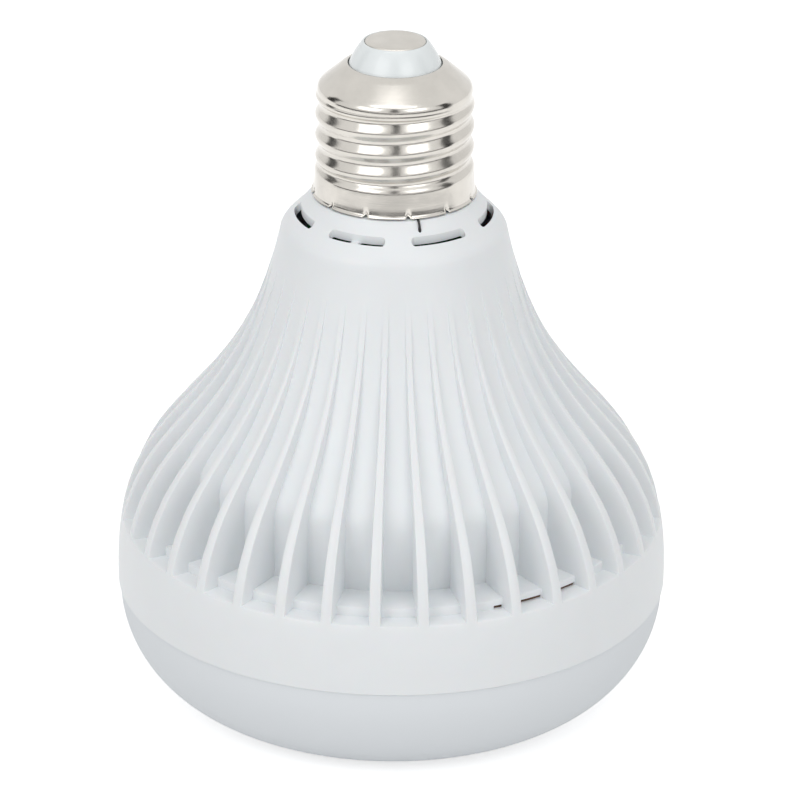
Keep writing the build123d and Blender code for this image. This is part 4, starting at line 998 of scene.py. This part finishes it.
def make_diffuser_finish(colour):
    """Milky polycarbonate: even and slightly deep, with two brownish specks and a white spot near its top
    edge that is a painted highlight.
    """
    material, tree, output, place = new_material("milky_polycarbonate")
    noise = add_node(tree, "ShaderNodeTexNoise", {"Vector": place, "Scale": 1 / (0.4 * MM), "Detail": 2.0})
    cloud = add_node(tree, "ShaderNodeTexNoise", {"Vector": place, "Scale": 1 / (18 * MM), "Detail": 2.0})
    dark = tuple(c * 0.985 for c in colour) + (1.0,)
    light = tuple(min(1.0, c * 1.015) for c in colour) + (1.0,)
    tint = add_node(
        tree, "ShaderNodeMixRGB", {"Fac": cloud.outputs["Fac"], "Color1": dark, "Color2": light},
    ).outputs["Color"]
    # Spots mixed into the colour: two brownish specks and a white painted highlight
    for angle, height, size, code, strength in SPECKS_AND_PAINTED_GLINT:
        radius = BOWL_CENTRE[0] + BOWL_R * sqrt(1 - (1 - height / BOWL_CENTRE[1]) ** 2)
        turn = radians(angle)
        moved = add_node(
            tree, "ShaderNodeMapping",
            {"Vector": place, "Location": (radius * cos(turn) * MM, radius * sin(turn) * MM, height * MM),
             "Scale": [s * MM for s in size]},
            vector_type="TEXTURE",
        )
        far = add_node(tree, "ShaderNodeVectorMath", {0: moved.outputs["Vector"]}, operation="LENGTH")
        spot = add_node(
            tree, "ShaderNodeMapRange",
            {"Value": far.outputs["Value"], "From Min": 0.75, "From Max": 1.05,
             "To Min": strength, "To Max": 0.0},
        )
        tint = add_node(
            tree, "ShaderNodeMixRGB",
            {"Fac": spot.outputs["Result"], "Color1": tint, "Color2": linear(code) + (1.0,)},
        ).outputs["Color"]
    relief = add_node(
        tree, "ShaderNodeBump", {"Height": noise.outputs["Fac"], "Strength": 0.03, "Distance": 0.05 * MM},
    )
    shader = add_node(
        tree, "ShaderNodeBsdfPrincipled",
        {"Base Color": tint, "Roughness": 0.4, "IOR": 1.585, "Normal": relief.outputs["Normal"],
         "Subsurface Weight": 0.25, "Subsurface Scale": 2.0 * MM},
    )
    tree.links.new(shader.outputs["BSDF"], output.inputs["Surface"])
    return material


def make_nickel(name, colour, roughness):
    """Nickel plating with fine turning lines round the cap and faint stains."""
    material, tree, output, place = new_material(name)
    lines = add_node(
        tree, "ShaderNodeMapping", {"Vector": place, "Scale": (1, 1, 30)}, vector_type="POINT",
    )
    grain = add_node(
        tree, "ShaderNodeTexNoise", {"Vector": lines.outputs["Vector"], "Scale": 1 / (6 * MM), "Detail": 4.0},
    )
    stain = add_node(
        tree, "ShaderNodeTexNoise", {"Vector": place, "Scale": 1 / (5 * MM), "Detail": 5.0, "Roughness": 0.6},
    )
    dark = tuple(c * 0.78 for c in colour) + (1.0,)
    tint = add_node(
        tree, "ShaderNodeMixRGB",
        {"Fac": stain.outputs["Fac"], "Color1": dark, "Color2": tuple(colour) + (1.0,)},
    )
    gloss = add_node(
        tree, "ShaderNodeMapRange",
        {"Value": stain.outputs["Fac"], "From Min": 0.3, "From Max": 0.75,
         "To Min": roughness + 0.1, "To Max": roughness - 0.04},
    )
    relief = add_node(
        tree, "ShaderNodeBump", {"Height": grain.outputs["Fac"], "Strength": 0.12, "Distance": 0.03 * MM},
    )
    shader = add_node(
        tree, "ShaderNodeBsdfPrincipled",
        {"Base Color": tint.outputs["Color"], "Metallic": 1.0, "Roughness": gloss.outputs["Result"],
         "Normal": relief.outputs["Normal"]},
    )
    tree.links.new(shader.outputs["BSDF"], output.inputs["Surface"])
    return material


def white_rays(tree):
    """1 for the rays that see the studio itself: straight, in a reflection or through a piece."""
    rays = add_node(tree, "ShaderNodeLightPath").outputs
    seen = add_node(
        tree, "ShaderNodeMath", {0: rays["Is Camera Ray"], 1: rays["Is Glossy Ray"]}, operation="MAXIMUM",
    )
    seen = add_node(
        tree, "ShaderNodeMath", {0: seen.outputs[0], 1: rays["Is Transmission Ray"]}, operation="MAXIMUM",
    )
    return seen.outputs[0]


def card_sheets():
    """Name and bmesh of each dark card: the half ring on the floor and the upright ones round the set."""
    ring = bmesh.new()
    outline = [ring.verts.new((-r, 0, CARD_RING_Z)) for r in CARD_RING]
    bmesh.ops.spin(
        ring, geom=outline + [ring.edges.new(outline)], cent=(0, 0, 0), axis=(0, 0, 1), dvec=(0, 0, 0),
        angle=pi, steps=32, use_merge=False, use_duplicate=False,
    )
    cards = [("card_ring", ring)]
    for name, azimuth, half, low, high in CARDS:
        sheet = bmesh.new()
        start = radians(azimuth - half - 90)
        x, y = CARD_DISTANCE * cos(start), CARD_DISTANCE * sin(start)
        edge = [sheet.verts.new((x, y, z)) for z in (low, high)]
        bmesh.ops.spin(
            sheet, geom=edge + [sheet.edges.new(edge)], cent=(0, 0, 0), axis=(0, 0, 1), dvec=(0, 0, 0),
            angle=radians(2 * half), steps=12, use_merge=False, use_duplicate=False,
        )
        cards.append((name, sheet))
    return cards


class BULB_OT_stage(BulbPiece, bpy.types.Operator):
    """White floor, soft studio light and the camera"""

    bl_idname = "bulb.stage"
    bl_label = "Stage"

    def execute(self, context):
        scene = context.scene
        paper_material, tree, output, _ = new_material("studio_paper")
        glow = add_node(tree, "ShaderNodeMath", {0: white_rays(tree), 1: FLOOR_GLOW}, operation="MULTIPLY")
        paper = add_node(tree, "ShaderNodeBsdfDiffuse", {"Color": (FLOOR_GREY, FLOOR_GREY, FLOOR_GREY, 1)})
        light = add_node(tree, "ShaderNodeEmission", {"Color": (1, 1, 1, 1), "Strength": glow.outputs[0]})
        both = add_node(tree, "ShaderNodeAddShader", {0: paper.outputs[0], 1: light.outputs[0]})
        tree.links.new(both.outputs[0], output.inputs["Surface"])
        grid = bmesh.new()
        bmesh.ops.create_grid(grid, x_segments=1, y_segments=1, size=FLOOR_HALF)
        data = bpy.data.meshes.new("floor")
        grid.to_mesh(data)
        grid.free()
        data.materials.append(paper_material)
        floor = bpy.data.objects.new("floor", data)
        scene.collection.objects.link(floor)

        world = bpy.data.worlds.new("studio")
        scene.world = world
        world.use_nodes = True
        tree = world.node_tree
        tree.nodes.clear()
        strength = add_node(
            tree, "ShaderNodeMapRange", {"Value": white_rays(tree), "To Min": SKY[0], "To Max": SKY[1]},
        )
        sky = add_node(
            tree, "ShaderNodeBackground", {"Color": (1, 1, 1, 1), "Strength": strength.outputs["Result"]},
        )
        end = add_node(tree, "ShaderNodeOutputWorld")
        tree.links.new(sky.outputs[0], end.inputs["Surface"])

        for name, place, power, size in LAMPS:
            lamp = bpy.data.lights.new(name, "AREA")
            lamp.shape = "RECTANGLE"
            lamp.energy = power
            lamp.size, lamp.size_y = size
            holder = bpy.data.objects.new(name, lamp)
            holder.location = place
            aim = Vector(LAMP_AIM) - Vector(place)
            holder.rotation_euler = aim.to_track_quat("-Z", "Y").to_euler()
            scene.collection.objects.link(holder)

        # The cards show only in the metal, and give it the dark lines that a room does
        felt_material, tree, output, _ = new_material("dark_felt")
        felt = add_node(tree, "ShaderNodeBsdfDiffuse", {"Color": (FELT, FELT, FELT, 1)})
        tree.links.new(felt.outputs[0], output.inputs["Surface"])
        for name, sheet in card_sheets():
            data = bpy.data.meshes.new(name)
            sheet.to_mesh(data)
            sheet.free()
            data.materials.append(felt_material)
            card = bpy.data.objects.new(name, data)
            card.visible_camera = False
            card.visible_diffuse = False
            card.visible_shadow = False
            card.visible_transmission = False
            scene.collection.objects.link(card)

        camera = bpy.data.cameras.new("camera")
        camera.lens = LENS
        camera.sensor_width = SENSOR
        camera.shift_x, camera.shift_y = SHIFT
        camera.clip_end = FAR_END
        holder = bpy.data.objects.new("camera", camera)
        azimuth, elevation = radians(AZIMUTH), radians(ELEVATION)
        back = Vector((sin(azimuth) * cos(elevation), -cos(azimuth) * cos(elevation), sin(elevation)))
        holder.location = Vector(TARGET) + back * DISTANCE
        look = (-back).to_track_quat("-Z", "Y").to_matrix().to_4x4()
        holder.rotation_euler = (look @ Matrix.Rotation(radians(ROLL), 4, "Z")).to_euler()
        scene.collection.objects.link(holder)
        scene.camera = holder
        scene.view_settings.view_transform = "Standard"
        return {"FINISHED"}


class BULB_PT_panel(bpy.types.Panel):
    """Sizes, colours and operators of the bulb"""

    bl_idname = "BULB_PT_panel"
    bl_label = "Speaker light bulb"
    bl_space_type = "VIEW_3D"
    bl_region_type = "UI"
    bl_category = "Bulb"

    def draw(self, context):
        layout = self.layout
        for group in (context.scene.bulb_sizes, context.scene.bulb_colours):
            box = layout.box()
            for name in group.__annotations__:
                box.prop(group, name)
        for operator in OPERATORS:
            layout.operator(operator.bl_idname)


OPERATORS = (
    BULB_OT_finishes,
    BULB_OT_housing,
    BULB_OT_light_ring,
    BULB_OT_screw_shell,
    BULB_OT_neutral_lead,
    BULB_OT_cap_tip,
    BULB_OT_grille,
    BULB_OT_surround,
    BULB_OT_spider,
    BULB_OT_stage,
)
CLASSES = (BulbSizes, BulbColours, *OPERATORS, BULB_PT_panel)


def register():
    for cls in CLASSES:
        bpy.utils.register_class(cls)
    bpy.types.Scene.bulb_sizes = PointerProperty(type=BulbSizes)
    bpy.types.Scene.bulb_colours = PointerProperty(type=BulbColours)


def unregister():
    del bpy.types.Scene.bulb_colours
    del bpy.types.Scene.bulb_sizes
    for cls in reversed(CLASSES):
        bpy.utils.unregister_class(cls)


def main():
    register()
    bpy.ops.bulb.finishes()
    bpy.ops.bulb.housing()
    bpy.ops.bulb.light_ring()
    bpy.ops.bulb.screw_shell()
    bpy.ops.bulb.neutral_lead()
    bpy.ops.bulb.cap_tip()
    bpy.ops.bulb.grille()
    bpy.ops.bulb.surround()
    bpy.ops.bulb.spider()
    bpy.ops.bulb.stage()


if __name__ == "__main__":
    main()
